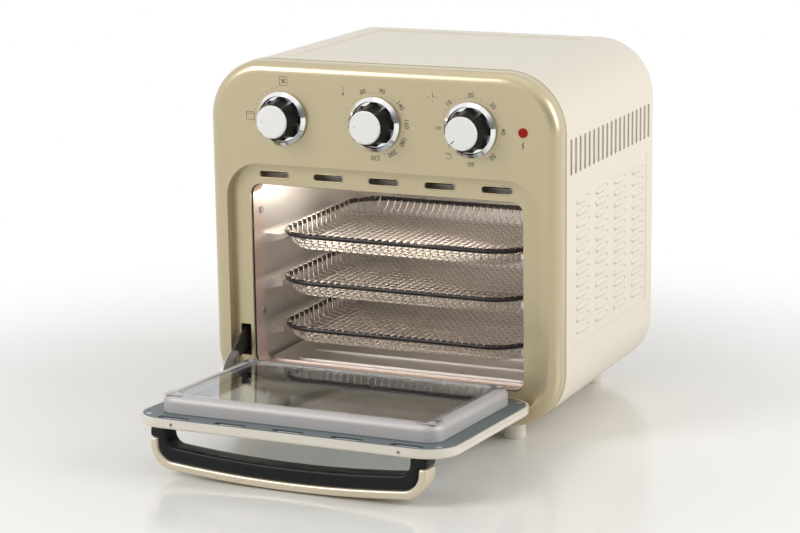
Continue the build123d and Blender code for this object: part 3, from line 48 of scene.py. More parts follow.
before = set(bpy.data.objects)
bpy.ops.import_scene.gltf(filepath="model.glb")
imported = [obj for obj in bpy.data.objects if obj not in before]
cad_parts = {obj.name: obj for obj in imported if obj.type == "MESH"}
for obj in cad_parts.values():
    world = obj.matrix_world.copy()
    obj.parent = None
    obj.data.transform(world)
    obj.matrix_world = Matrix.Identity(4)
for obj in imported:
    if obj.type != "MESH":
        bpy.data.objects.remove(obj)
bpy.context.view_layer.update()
MM = 0.001
FRONT_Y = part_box("front_bezel")[0].y / MM
FOOT_Z = 15.0
CORNER_STEPS = 12
WELD = 1e-7
SHARP = math.radians(35)
log = logging.getLogger("oven")


def at(x: float, depth: float, height: float) -> Vector:
    """Turn millimetres right of the middle, behind the front and over the underside into a place."""
    return Vector((x * MM, (FRONT_Y + depth) * MM, (FOOT_Z + height) * MM))


def arc_points(
    across: float, up: float, radius: float, start: float, sweep: float, steps: int
) -> list[Pair]:
    """Return the points of an arc round a centre, both ends included, its angles in degrees."""
    angles = [math.radians(start + sweep * step / steps) for step in range(steps + 1)]
    return [(across + radius * math.cos(turn), up + radius * math.sin(turn)) for turn in angles]


def rounded_box(half: float, low: float, high: float, low_r: float, high_r: float) -> list[Pair]:
    """Return a rectangle with rounded corners, centred across.

    Args:
        half: half its width.
        low: its lowest height.
        high: its greatest height.
        low_r: the radius of its lower corners.
        high_r: the radius of its upper corners.

    Returns:
        Its points, in order.
    """
    points: list[Pair] = []
    for side, middle, radius, start in (
        (1, high - high_r, high_r, 0), (-1, high - high_r, high_r, 90),
        (-1, low + low_r, low_r, 180), (1, low + low_r, low_r, 270),
    ):
        points += arc_points(side * (half - radius), middle, radius, start, 90, CORNER_STEPS)
    return points


def stadium(
    across: float, up: float, length: float, width: float, angle: float, steps: int
) -> list[Pair]:
    """Return the outline of a bar with round ends.

    Args:
        across: the bar's middle across.
        up: the bar's middle upwards.
        length: its whole length.
        width: its width.
        angle: how far it is turned, in degrees.
        steps: how many steps each end takes.

    Returns:
        Its points, in order.
    """
    turn = math.radians(angle)
    points: list[Pair] = []
    for end in (1, -1):
        reach = end * (length - width) / 2
        middle = (across + reach * math.cos(turn), up + reach * math.sin(turn))
        points += arc_points(*middle, width / 2, angle - 90 * end, 180, steps)
    return points


def linked(name: str, data: bpy.types.ID) -> bpy.types.Object:
    """Return a new object for a mesh, curve, light or camera, linked into the scene."""
    thing = bpy.data.objects.new(name, data)
    bpy.context.scene.collection.objects.link(thing)
    return thing


def plain_mesh(carrier: bpy.types.Object, name: str) -> Mesh:
    """Turn an object's evaluated shape into a mesh and remove the object.

    Args:
        carrier: the object with its modifiers or its text.
        name: the mesh's name.

    Returns:
        The plain mesh.
    """
    bpy.context.view_layer.update()
    graph = bpy.context.evaluated_depsgraph_get()
    mesh = bpy.data.meshes.new_from_object(carrier.evaluated_get(graph))
    mesh.name = name
    bpy.data.objects.remove(carrier)
    return mesh


COLOR_FIRST, COLOR_SECOND = 6, 7
COLOR_RESULT = 2


class Graph:
    """Adds nodes to a node tree and joins or sets their inputs."""

    def __init__(self, tree: bpy.types.NodeTree) -> None:
        """Work on a tree."""
        self.tree = tree

    def feed(self, socket: Socket, source: object) -> None:
        """Join an input to a socket, or set it to a value.

        Args:
            socket: the input.
            source: a socket or a value.
        """
        if isinstance(source, Socket):
            self.tree.links.new(source, socket)
        else:
            socket.default_value = source

    def fill(self, node: bpy.types.Node, **named: object) -> bpy.types.Node:
        """Set a node's options and join or set its inputs.

        Args:
            node: the node.
            named: a value for each option, in lower case, and a socket or a value for each
                input, with spaces as underscores.

        Returns:
            The node.
        """
        for label, source in named.items():
            if label.islower():
                setattr(node, label, source)
            else:
                self.feed(node.inputs[label.replace("_", " ")], source)
        return node

    def add(self, kind: str, *sources: object, **named: object) -> bpy.types.Node:
        """Add a node, set its options and join or set its inputs.

        Args:
            kind: the node's type.
            sources: a socket or a value for each of its first inputs.
            named: its options and the rest of its inputs.

        Returns:
            The node.
        """
        node = self.fill(self.tree.nodes.new(kind), **named)
        for socket, source in zip(node.inputs, sources):
            self.feed(socket, source)
        return node

    def mix(self, share: object, first: object, second: object) -> Socket:
        """Mix two colours.

        Args:
            share: how much of the second colour there is.
            first: the colour at 0.
            second: the colour at 1.

        Returns:
            The socket with the mixed colour.
        """
        node = self.add("ShaderNodeMix", share, data_type="RGBA")
        self.feed(node.inputs[COLOR_FIRST], first)
        self.feed(node.inputs[COLOR_SECOND], second)
        return node.outputs[COLOR_RESULT]

    def noise(self, place: Socket, scale: float, detail: float, stretch: Triple) -> Socket:
        """Add a stretched noise.

        Args:
            place: the socket with the coordinates.
            scale: cells per metre.
            detail: octaves of the noise.
            stretch: scale along each axis.

        Returns:
            The socket with the noise.
        """
        mapping = self.add("ShaderNodeMapping", Vector=place, Scale=stretch)
        cells = self.add(
            "ShaderNodeTexNoise", Vector=mapping.outputs["Vector"], Scale=scale, Detail=detail
        )
        return cells.outputs["Fac"]


class Grain(Enum):
    """How the fine relief of a finish runs."""

    MOULDED = "moulded"
    BRUSHED_X = "brushed along x"
    BRUSHED_Y = "brushed along y"
    BRUSHED_Z = "brushed along z"
    ROLLED = "rolled"
    CAST = "cast"


EVEN = (1.0, 1.0, 1.0)
GRAIN_SCALE = {
    Grain.MOULDED: EVEN,
    Grain.BRUSHED_X: (0.02, 1.0, 1.0),
    Grain.BRUSHED_Y: (1.0, 0.02, 1.0),
    Grain.BRUSHED_Z: (1.0, 1.0, 0.02),
    Grain.ROLLED: (0.25, 1.0, 0.25),
    Grain.CAST: EVEN,
}
GRAIN_OCTAVES = 4.0
BROAD_CELLS = 14.0
BROAD_OCTAVES = 3.0
RELIEF_DEPTH = 0.4 * MM
COAT_ROUGH = 0.06
LEAST_ROUGH = 0.02


@dataclass(frozen=True)
class Finish:
    """One surface finish, built as a node material."""

    name: str
    color: Triple
    metal: float = 0.0
    rough: float = 0.35
    spread: float = 0.06
    drift: float = 0.03
    grain: Grain = Grain.MOULDED
    grain_size: float = 900.0
    relief: float = 0.02
    coat: float = 0.0
    pass_through: float = 0.0
    ior: float = 1.5
    other: Triple | None = None
    plane: tuple[float, float, float, float] = (0.0, 0.0, 1.0, 0.0)

    def material(self) -> bpy.types.Material:
        """Return the finish as a material, making it the first time."""
        return bpy.data.materials.get(f"{self.name}_finish") or self._build()

    def _build(self) -> bpy.types.Material:
        """Build the node tree of the finish."""
        mat = bpy.data.materials.new(f"{self.name}_finish")
        mat.use_nodes = True
        graph = Graph(mat.node_tree)
        place = graph.add("ShaderNodeTexCoord").outputs["Object"]
        broad = graph.noise(place, BROAD_CELLS, BROAD_OCTAVES, EVEN)
        fine = graph.noise(place, self.grain_size, GRAIN_OCTAVES, GRAIN_SCALE[self.grain])
        color = graph.mix(broad, self._shade(1.0 - self.drift), self._shade(1.0 + self.drift))
        if self.other:
            color = self._beyond(graph, place, color)
        gloss = graph.add(
            "ShaderNodeMapRange",
            Value=fine,
            To_Min=max(self.rough - self.spread, LEAST_ROUGH),
            To_Max=min(self.rough + self.spread, 1.0),
        )
        bump = graph.add("ShaderNodeBump", Strength=self.relief, Distance=RELIEF_DEPTH, Height=fine)
        graph.fill(
            mat.node_tree.nodes["Principled BSDF"],
            Base_Color=color,
            Metallic=self.metal,
            Roughness=gloss.outputs["Result"],
            IOR=self.ior,
            Normal=bump.outputs["Normal"],
            Coat_Weight=self.coat,
            Coat_Roughness=COAT_ROUGH,
            Transmission_Weight=self.pass_through,
        )
        return mat

    def _shade(self, factor: float) -> tuple[float, ...]:
        """Return the colour, lighter or darker by a factor, with an alpha of 1."""
        return (*(min(channel * factor, 1.0) for channel in self.color), 1.0)

    def _beyond(self, graph: Graph, place: Socket, near: Socket) -> Socket:
        """Change to the second colour beyond the finish's plane.

        Args:
            graph: the node tree of the material.
            place: the socket with the coordinates.
            near: the colour on the near side of the plane.

        Returns:
            The socket with both colours.
        """
        *normal, level = self.plane
        depth = graph.add("ShaderNodeVectorMath", place, normal, operation="DOT_PRODUCT")
        beyond = graph.add("ShaderNodeMath", depth.outputs["Value"], level, operation="GREATER_THAN")
        return graph.mix(beyond.outputs[0], near, (*self.other, 1.0))


PIVOT_DEPTH = 2.2
PIVOT_HEIGHT = 19.5
FLANGE_LIFT = 6.5
DOOR_PIVOT = at(0.0, PIVOT_DEPTH, PIVOT_HEIGHT)
DOOR_TILT = math.radians(3.0)
DOOR_INWARD = Vector((0.0, math.sin(DOOR_TILT), math.cos(DOOR_TILT)))
FLANGE_LEVEL = DOOR_PIVOT.dot(DOOR_INWARD) + FLANGE_LIFT * MM

CHAMPAGNE = Finish(
    "champagne_gloss", (0.56, 0.475, 0.30), 0.45, 0.28, 0.015, 0.015, relief=0.004, coat=0.35
)
HANDLE_GLOSS = Finish("handle_gloss", (0.68, 0.60, 0.44), 0.3, 0.22, 0.03, 0.015, coat=0.5)
CREAM_PAINT = Finish(
    "cream_paint", (0.80, 0.735, 0.615), 0.0, 0.36, 0.04, 0.01, relief=0.01, coat=0.08, ior=1.35
)
CREAM_PLASTIC = Finish("cream_plastic", (0.76, 0.715, 0.62), 0.0, 0.32, 0.04, 0.015, coat=0.15)
# the colour of dark seams and grooves, also a painted shadow line under each louvre hood
SEAM = Finish("seam_shadow", (0.48, 0.40, 0.23), 0.0, 0.5, 0.05, 0.05)
BRIGHT_STEEL = Finish(
    "bright_steel", (0.80, 0.755, 0.71), 0.78, 0.38, 0.09, 0.06, Grain.BRUSHED_Y, 1600.0, 0.1
)
# painted reflection: the pinkish-brown tint stands for warm things reflected in the frame, not the
# steel's own colour
FRAME_STEEL = Finish(
    "frame_steel", (0.88, 0.71, 0.63), 0.7, 0.36, 0.08, 0.05, Grain.BRUSHED_Z, 1600.0, 0.1
)
ZINC_STEEL = Finish("zinc_steel", (0.52, 0.52, 0.53), 1.0, 0.38, 0.1, 0.1, Grain.ROLLED, 700.0, 0.15)
EAR_STEEL = Finish(
    "ear_steel", (0.44, 0.425, 0.39), 0.5, 0.42, 0.08, 0.06, Grain.BRUSHED_Z, 900.0, 0.12
)
BLUED_STEEL = Finish(
    "blued_steel", (0.075, 0.07, 0.066), 0.7, 0.36, 0.1, 0.15, Grain.ROLLED, 800.0, 0.15
)
# partly painted shade: the flange, on the near side of the plane, is dark blue-grey partly to stand for
# its shade and dark reflection; the raised box beyond the plane is light grey
PANEL_ENAMEL = Finish(
    "panel_enamel", (0.15, 0.175, 0.19), 0.3, 0.52, 0.05, 0.04,
    other=(0.51, 0.49, 0.48), plane=(*DOOR_INWARD, FLANGE_LEVEL),
)
DARK_WIRE = Finish("dark_wire", (0.03, 0.025, 0.023), 0.5, 0.33, 0.08, 0.15, relief=0.1)
MESH_WIRE = Finish("mesh_wire", (0.85, 0.79, 0.73), 1.0, 0.22, 0.08, 0.12, relief=0.1)
CHROME = Finish("chrome", (0.86, 0.86, 0.86), 1.0, 0.08, 0.03, 0.01, relief=0.004)
BLACK_PLASTIC = Finish(
    "black_plastic", (0.008, 0.008, 0.0095), 0.0, 0.36, 0.07, 0.2, relief=0.05, ior=1.3
)
# painted shade: black, for the shadowed gap between the front and the cavity frame round the mouth
BLACK_GAP_SHADE = Finish("black_gap_shade", (0.008, 0.007, 0.007), 0.0, 0.55, 0.1, 0.2)
# painted shade: a darker tan than the cream shell, for the shade inside the slits, on the vanes and the
# rolled slit edges
VANE_SHADE = Finish("vane_shade", (0.47, 0.415, 0.32), 0.0, 0.5, 0.04, 0.02)
SILVER_CAP = Finish(
    "silver_cap", (0.88, 0.876, 0.85), 0.1, 0.45, 0.04, 0.01, Grain.BRUSHED_X, 2200.0, 0.02
)
PRINT = Finish("dial_print", (0.14, 0.125, 0.095), 0.0, 0.5, 0.05, 0.1)
RED_LENS = Finish("red_lens", (0.38, 0.012, 0.007), 0.0, 0.16, 0.03, 0.1, ior=1.2)
ALUMINIUM = Finish("aluminium", (0.66, 0.66, 0.67), 1.0, 0.33, 0.08, 0.06, Grain.ROLLED)
IRON = Finish("motor_iron", (0.14, 0.14, 0.15), 0.6, 0.5, 0.1, 0.2, Grain.CAST, 500.0, 0.3)
BAKELITE = Finish("bakelite", (0.028, 0.02, 0.016), 0.0, 0.4, 0.08, 0.2, Grain.CAST, 600.0, 0.1)
HEATER_SHEATH = Finish("heater_sheath", (0.2, 0.13, 0.1), 0.7, 0.45, 0.1, 0.25, Grain.CAST, 700.0, 0.2)
GLASS = Finish(
    "float_glass", (0.95, 0.98, 0.985), 0.0, 0.02, 0.01, 0.01, relief=0.001, pass_through=1.0,
    ior=1.45,
)

KNOBS = ("function", "temperature", "timer")
NODE_FINISH = {
    CHAMPAGNE: ("front_bezel",),
    CREAM_PAINT: ("outer_shell", "back_panel"),
    EAR_STEEL: ("hinge_ear",),
    CREAM_PLASTIC: ("feet", "door_frame", "terminal_block"),
    BRIGHT_STEEL: (
        "cavity_left_wall", "cavity_right_wall", "cavity_ceiling", "cavity_floor", "cavity_back",
        "crumb_tray", "fan_guard",
    ),
    FRAME_STEEL: ("cavity_front_frame",),
    ZINC_STEEL: (
        "base_plate", "fan_housing", "fan_shaft", "motor_bracket", "control_plate", "glass_clips",
        "door_screws", "hinge_pins", "hinge_rivet", "spring_anchor", "handle_screws",
        "body_screws", *(f"{knob}_stem" for knob in KNOBS),
    ),
    BLUED_STEEL: ("hinge_lever",),
    PANEL_ENAMEL: ("door_inner_panel",),
    BLACK_PLASTIC: ("cord_gland", *(f"{knob}_knob_grip" for knob in KNOBS)),
    CHROME: tuple(f"{knob}_knob_skirt" for knob in KNOBS),
    SILVER_CAP: tuple(f"{knob}_knob_cap" for knob in KNOBS),
    BAKELITE: ("function_switch", "thermostat", "timer"),
    RED_LENS: ("pilot_lamp",),
    ALUMINIUM: ("convection_fan", "cooling_fan"),
    IRON: ("fan_motor",),
    HEATER_SHEATH: ("upper_heater",),
    GLASS: ("door_inner_glass", "door_outer_glass"),
}


def new_piece(name: str, mesh: Mesh, finish: Finish, body: str) -> bpy.types.Object:
    """Link a finished mesh into the scene and let it ride on a body.

    Args:
        name: the piece's name.
        mesh: the mesh, in frame coordinates.
        finish: what it is made of.
        body: the body it moves with.

    Returns:
        The new object.
    """
    piece = linked(name, mesh)
    if finish.material().name not in mesh.materials:
        mesh.materials.append(finish.material())
    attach(piece, body)
    log.info("%s: %d faces on %s", name, len(mesh.polygons), body)
    return piece


def mesh_of(form: Form, name: str, smooth: bool = True) -> Mesh:
    """Write a form to a mesh with its faces pointing outwards.

    Args:
        form: the form, which is freed.
        name: the mesh's name.
        smooth: whether its faces are shaded smooth.

    Returns:
        The mesh.
    """
    bmesh.ops.remove_doubles(form, verts=form.verts, dist=WELD)
    bmesh.ops.recalc_face_normals(form, faces=form.faces)
    mesh = bpy.data.meshes.new(name)
    form.to_mesh(mesh)
    form.free()
    for face in mesh.polygons:
        face.use_smooth = smooth
    return mesh


def sheet_of(outline: list[Vector], lift: Vector, name: str) -> Mesh:
    """Raise a flat outline into a solid.

    Args:
        outline: the points of the outline, in order.
        lift: how far and which way it is raised.
        name: the mesh's name.

    Returns:
        The solid's mesh.
    """
    form = bmesh.new()
    base = form.faces.new([form.verts.new(point) for point in outline])
    raised = bmesh.ops.extrude_face_region(form, geom=[base])
    verts = [item for item in raised["geom"] if isinstance(item, bmesh.types.BMVert)]
    bmesh.ops.translate(form, verts=verts, vec=lift)
    return mesh_of(form, name, smooth=False)


def bent_sheet(rows: list[list[Vector]], side: int, thickness: float, name: str) -> Mesh:
    """Join rows of points to a bent sheet with a wall.

    Args:
        rows: the points of each row.
        side: which way its outside faces, 1 for the right and -1 for the left.
        thickness: its wall in millimetres.
        name: the mesh's name.

    Returns:
        The sheet's mesh.
    """
    form = bmesh.new()
    grid = [[form.verts.new(point) for point in row] for row in rows]
    for lower, upper in zip(grid, grid[1:]):
        for step in range(len(lower) - 1):
            form.faces.new((lower[step], lower[step + 1], upper[step + 1], upper[step]))
    bmesh.ops.recalc_face_normals(form, faces=form.faces)
    if sum(face.normal.x for face in form.faces) * side < 0:
        bmesh.ops.reverse_faces(form, faces=form.faces)
    bmesh.ops.solidify(form, geom=form.faces[:], thickness=thickness * MM)
    return mesh_of(form, name)


def bevelled(mesh: Mesh, width: float, segments: int, name: str) -> Mesh:
    """Round the sharp edges of a mesh.

    Args:
        mesh: the mesh to round.
        width: the rounding in millimetres.
        segments: how many steps it takes.
        name: the new mesh's name.

    Returns:
        The rounded mesh.
    """
    carrier = linked(name, mesh)
    bevel = carrier.modifiers.new("round", "BEVEL")
    bevel.width = width * MM
    bevel.segments = segments
    bevel.limit_method = "ANGLE"
    bevel.angle_limit = SHARP
    bevel.harden_normals = False
    result = plain_mesh(carrier, name)
    for face in result.polygons:
        face.use_smooth = True
    return result


class NodeTool(Graph):
    """Builds a Geometry Nodes tree and turns its result into a plain mesh."""

    def __init__(self, name: str, inputs: dict[str, tuple[str, float]]) -> None:
        """Start a tree.

        Args:
            name: the tree's name.
            inputs: for each named input its socket type and value.
        """
        super().__init__(bpy.data.node_groups.new(name, "GeometryNodeTree"))
        self.values: dict[str, object] = {}
        face = self.tree.interface
        face.new_socket("Geometry", in_out="INPUT", socket_type="NodeSocketGeometry")
        for label, (kind, value) in inputs.items():
            socket = face.new_socket(label, in_out="INPUT", socket_type=kind)
            self.values[socket.identifier] = value
        face.new_socket("Geometry", in_out="OUTPUT", socket_type="NodeSocketGeometry")
        self.entry = self.tree.nodes.new("NodeGroupInput")
        self.exit = self.tree.nodes.new("NodeGroupOutput")

    def close(self, geometry: Socket, finish: Finish) -> None:
        """End the tree in Realize Instances and Set Material.

        Args:
            geometry: the socket with the shape.
            finish: what it is made of.
        """
        real = self.add("GeometryNodeRealizeInstances", Geometry=geometry)
        dress = self.add(
            "GeometryNodeSetMaterial", Geometry=real.outputs[0], Material=finish.material()
        )
        self.feed(self.exit.inputs[0], dress.outputs[0])

    def run(self, base: Mesh, name: str) -> Mesh:
        """Run the tree on a mesh.

        Args:
            base: the mesh that the tree starts from.
            name: the new mesh's name.

        Returns:
            The result as a plain mesh.
        """
        carrier = linked(name, base)
        modifier = carrier.modifiers.new("shape", "NODES")
        modifier.node_group = self.tree
        for identifier, value in self.values.items():
            modifier[identifier] = value
        return plain_mesh(carrier, name)


@dataclass(frozen=True)
class Wire:
    """A round wire, its width in millimetres, that follows paths with Geometry Nodes."""

    width: float
    finish: Finish
    sides: int = 8
    closed: bool = False

    def piece(self, name: str, paths: list[list[Vector]], body: str) -> bpy.types.Object:
        """Make one piece of the wires along some paths.

        Args:
            name: the piece's name.
            paths: the points of each path, in metres.
            body: the body it moves with.

        Returns:
            The new object.
        """
        tool = NodeTool(
            name,
            {
                "Radius": ("NodeSocketFloat", self.width / 2 * MM),
                "Sides": ("NodeSocketInt", self.sides),
            },
        )
        curve = tool.add("GeometryNodeMeshToCurve", Mesh=tool.entry.outputs["Geometry"])
        ring = tool.add(
            "GeometryNodeCurvePrimitiveCircle",
            Radius=tool.entry.outputs["Radius"],
            Resolution=tool.entry.outputs["Sides"],
        )
        wire = tool.add(
            "GeometryNodeCurveToMesh", Curve=curve.outputs[0], Profile_Curve=ring.outputs[0],
            Fill_Caps=not self.closed,
        )
        smooth = tool.add("GeometryNodeSetShadeSmooth", Geometry=wire.outputs[0])
        tool.close(smooth.outputs[0], self.finish)
        return new_piece(name, tool.run(self._lines(name, paths), name), self.finish, body)

    def _lines(self, name: str, paths: list[list[Vector]]) -> Mesh:
        """Return the centre lines as a mesh of edges.

        Args:
            name: the piece's name.
            paths: the points of each path, in metres.

        Returns:
            The mesh of edges.
        """
        form = bmesh.new()
        for path in paths:
            verts = [form.verts.new(point) for point in path]
            for first, second in zip(verts, verts[1:]):
                form.edges.new((first, second))
            if self.closed:
                form.edges.new((verts[-1], verts[0]))
        base = bpy.data.meshes.new(name + "_path")
        form.to_mesh(base)
        form.free()
        return base


def repeated(
    name: str, pattern: Mesh, places: list[Matrix], finish: Finish, body: str
) -> bpy.types.Object:
    """Make one piece of copies of a small mesh with Geometry Nodes.

    Args:
        name: the piece's name.
        pattern: the mesh that repeats.
        places: where each copy goes.
        finish: what they are made of.
        body: the body they move with.

    Returns:
        The new object.
    """
    base = bpy.data.meshes.new(name + "_places")
    base.from_pydata([place.to_translation() for place in places], [], [])
    turns = base.attributes.new("turn", "FLOAT_VECTOR", "POINT")
    for index, place in enumerate(places):
        turns.data[index].vector = place.to_euler()
    holder = bpy.data.objects.new(name + "_pattern", pattern)
    tool = NodeTool(name, {"Size": ("NodeSocketFloat", 1.0)})
    info = tool.add("GeometryNodeObjectInfo", Object=holder)
    turn = tool.add("GeometryNodeInputNamedAttribute", data_type="FLOAT_VECTOR", Name="turn")
    spread = tool.add(
        "GeometryNodeInstanceOnPoints",
        Points=tool.entry.outputs["Geometry"],
        Instance=info.outputs["Geometry"],
        Rotation=next(s for s in turn.outputs if s.enabled and s.name == "Attribute"),
        Scale=tool.entry.outputs["Size"],
    )
    tool.close(spread.outputs[0], finish)
    mesh = tool.run(base, name)
    bpy.data.objects.remove(holder)
    return new_piece(name, mesh, finish, body)


@dataclass
class Baskets:
    """The three wire baskets: a thick rim and a dished net of thin wires."""

    width: float = 240.0
    length: float = 190.0
    front: float = 26.0
    corner: float = 36.0
    dish: float = 14.0
    slope: float = 13.0
    bend: float = 2.2
    rim: float = 4.5
    wire: float = 1.0
    wrap_outside: float = 0.6
    wrap_inside: float = 0.9
    wrap_lift: float = 0.96
    pitch: float = 6.2
    skew_x: float = 0.55
    skew_y: float = 0.8
    weave: float = 0.5
    levels: tuple[tuple[str, float], ...] = (
        ("lower_basket", 62.3), ("middle_basket", 105.1), ("upper_basket", 147.9),
    )

    def build(self) -> None:
        """Build the three baskets, each in place of its solid."""
        thick = Wire(self.rim, DARK_WIRE, 14, closed=True)
        thin = Wire(self.wire, MESH_WIRE, 4)
        for name, level in self.levels:
            rim = thick.piece(f"{name}_rim", [self._rim(level)], name)
            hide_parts(name)
            thin.piece(f"{name}_net", self._wires(level), name)

    def _place(self, x: float, y: float, level: float) -> Vector:
        """Return a place on the basket from its middle."""
        return at(x, self.front + self.length / 2 + y, level)

    def _rim(self, level: float) -> list[Vector]:
        """Return the centre line of the rim at a level.

        Args:
            level: the height of the rim.

        Returns:
            The points of the centre line.
        """
        half_x, half_y = (self.width - self.rim) / 2, (self.length - self.rim) / 2
        radius = self.corner - self.rim / 2
        outline = rounded_box(half_x, -half_y, half_y, radius, radius)
        return [self._place(x, y, level) for x, y in outline]

    def _inside(self, x: float, y: float) -> float:
        """Return how far a place lies inside the rounded outline, in millimetres.

        Args:
            x: millimetres to the right of the basket's middle.
            y: millimetres behind the basket's middle.

        Returns:
            The distance to the outline, which is negative outside it.
        """
        half_x, half_y = self.width / 2, self.length / 2
        across = max(abs(x) - (half_x - self.corner), 0.0)
        along = max(abs(y) - (half_y - self.corner), 0.0)
        if across > 0.0 or along > 0.0:
            return self.corner - math.hypot(across, along)
        return min(half_x - abs(x), half_y - abs(y))

    def _rise(self, x: float, y: float) -> float | None:
        """Return how high the net lies over the rim's centre line.

        Args:
            x: millimetres to the right of the basket's middle.
            y: millimetres behind the basket's middle.

        Returns:
            The height in millimetres, or None past the rim.
        """
        inside = self._inside(x, y) - self.rim / 2
        lap = (self.rim + self.wire) / 2
        if inside < -self.wrap_outside * lap:
            return None
        if inside < self.wrap_inside * lap:
            return math.sqrt(lap**2 - inside**2) * self.wrap_lift
        share = min(inside / self.slope, 1.0)
        return -self.dish * (1.0 - (1.0 - share) ** self.bend)

    def _wires(self, level: float) -> list[list[Vector]]:
        """Return the centre lines of the woven wires, which cross on the slant.

        Args:
            level: the height of the rim.

        Returns:
            The points of each wire.
        """
        reach = int((self.width + self.length) / 2 / self.pitch) + 2
        paths = []
        for turn in (-1, 1):
            for row in range(-reach, reach + 1):
                path: list[Vector] = []
                for step in range(-2 * reach, 2 * reach + 1):
                    u, v = row * self.pitch, step * self.pitch / 2
                    x = (u + v) * self.skew_x
                    y = turn * (v - u) * self.skew_y
                    rise = self._rise(x, y)
                    if rise is None:
                        if len(path) > 2:
                            paths.append(path)
                        path = []
                        continue
                    over = self.weave * (-1) ** (row + step // 2) * turn if step % 2 == 0 else 0.0
                    path.append(self._place(x, y, level + rise + over))
                if len(path) > 2:
                    paths.append(path)
        return paths


SIDES = ((-1, "left"), (1, "right"))
WALL_X = 164.6
WALL_MIDDLE = 133.0


def wall_places(
    x: float, height: float, columns: int, rows: int, pitch_y: float, pitch_z: float
) -> list[Matrix]:
    """Return the places of a pattern on a side wall of the shell.

    Args:
        x: millimetres to the right of the middle.
        height: the height of the pattern's middle.
        columns: how many copies stand in a row.
        rows: how many rows there are.
        pitch_y: from column to column.
        pitch_z: from row to row.

    Returns:
        The places, column by column.
    """
    return [
        Matrix.Translation(
            at(
                x,
                WALL_MIDDLE + (column - (columns - 1) / 2) * pitch_y,
                height + (row - (rows - 1) / 2) * pitch_z,
            )
        )
        for column in range(columns)
        for row in range(rows)
    ]


@dataclass
class Louvres:
    """The pressed hoods on both side walls, each with a painted shadow line along its lip below."""

    length: float = 31.0
    height: float = 5.4
    out: float = 1.3
    wall: float = 0.5
    top_share: float = 0.78
    end_share: float = 0.35
    fullness: int = 4
    steps_along: int = 14
    steps_down: int = 6
    columns: int = 4
    rows: int = 12
    pitch_y: float = 48.3
    pitch_z: float = 10.4
    middle_z: float = 135.5
    lip_width: float = 0.6
    lip_out: float = 0.25
    lip: tuple[Pair, ...] = (
        (-13.5, -1.5), (-4.0, -1.75), (6.0, -1.7), (10.5, -1.1), (13.2, 0.4), (15.4, 2.6),
    )

    def build(self) -> None:
        """Build the hoods and the painted shadow lines under them on both walls."""
        # painted shadow: a thin tan line under each hood, where its opening is in shade
        shade = Wire(self.lip_width, SEAM, 6)
        for side, word in SIDES:
            places = wall_places(
                side * WALL_X, self.middle_z, self.columns, self.rows, self.pitch_y, self.pitch_z
            )
            hoods = repeated(f"{word}_louvre_hoods", self._hood(side), places, CREAM_PAINT, "oven")
            edge = [Vector((side * self.lip_out, y, z)) * MM for y, z in self.lip]
            lips = [[place @ spot for spot in edge] for place in places]
            shade.piece(f"{word}_louvre_lips", lips, "oven")

    def _hood(self, side: int) -> Mesh:
        """Return one hood, open below.

        Args:
            side: 1 on the right wall and -1 on the left.

        Returns:
            The hood's mesh, round the origin.
        """
        grid = []
        for column in range(self.steps_along + 1):
            along = -1.0 + 2.0 * column / self.steps_along
            swell = math.sqrt(max(1.0 - along**self.fullness, 0.0))
            tall = self.height * (self.end_share + (1.0 - self.end_share) * swell)
            line = []
            for row in range(self.steps_down + 1):
                down = row / self.steps_down
                out = side * self.out * math.sin(down * math.pi / 2) * swell
                height = tall * (self.top_share - down)
                line.append(Vector((out, along * self.length / 2, height)) * MM)
            grid.append(line)
        return bent_sheet(grid, side, self.wall, "hood")


VENT_WIDTH = 29.0
VENT_HEIGHT = 6.5
VENT_PITCH = 53.1
VENT_STEPS = range(-2, 3)


@dataclass
class VentRims:
    """The raised rims of the five vents over the door."""

    middle_z: float = 206.3
    recess: float = 9.0
    lift: float = 0.05
    width: float = 1.2
    steps: int = 8

    def build(self) -> None:
        """Build the rims as one piece."""
        paths = []
        for step in VENT_STEPS:
            outline = stadium(
                step * VENT_PITCH, self.middle_z, VENT_WIDTH, VENT_HEIGHT, 0.0, self.steps
            )
            paths.append([at(x, self.recess - self.lift, z) for x, z in outline])
        rims = Wire(self.width, CHAMPAGNE, closed=True).piece("vent_rims", paths, "oven")


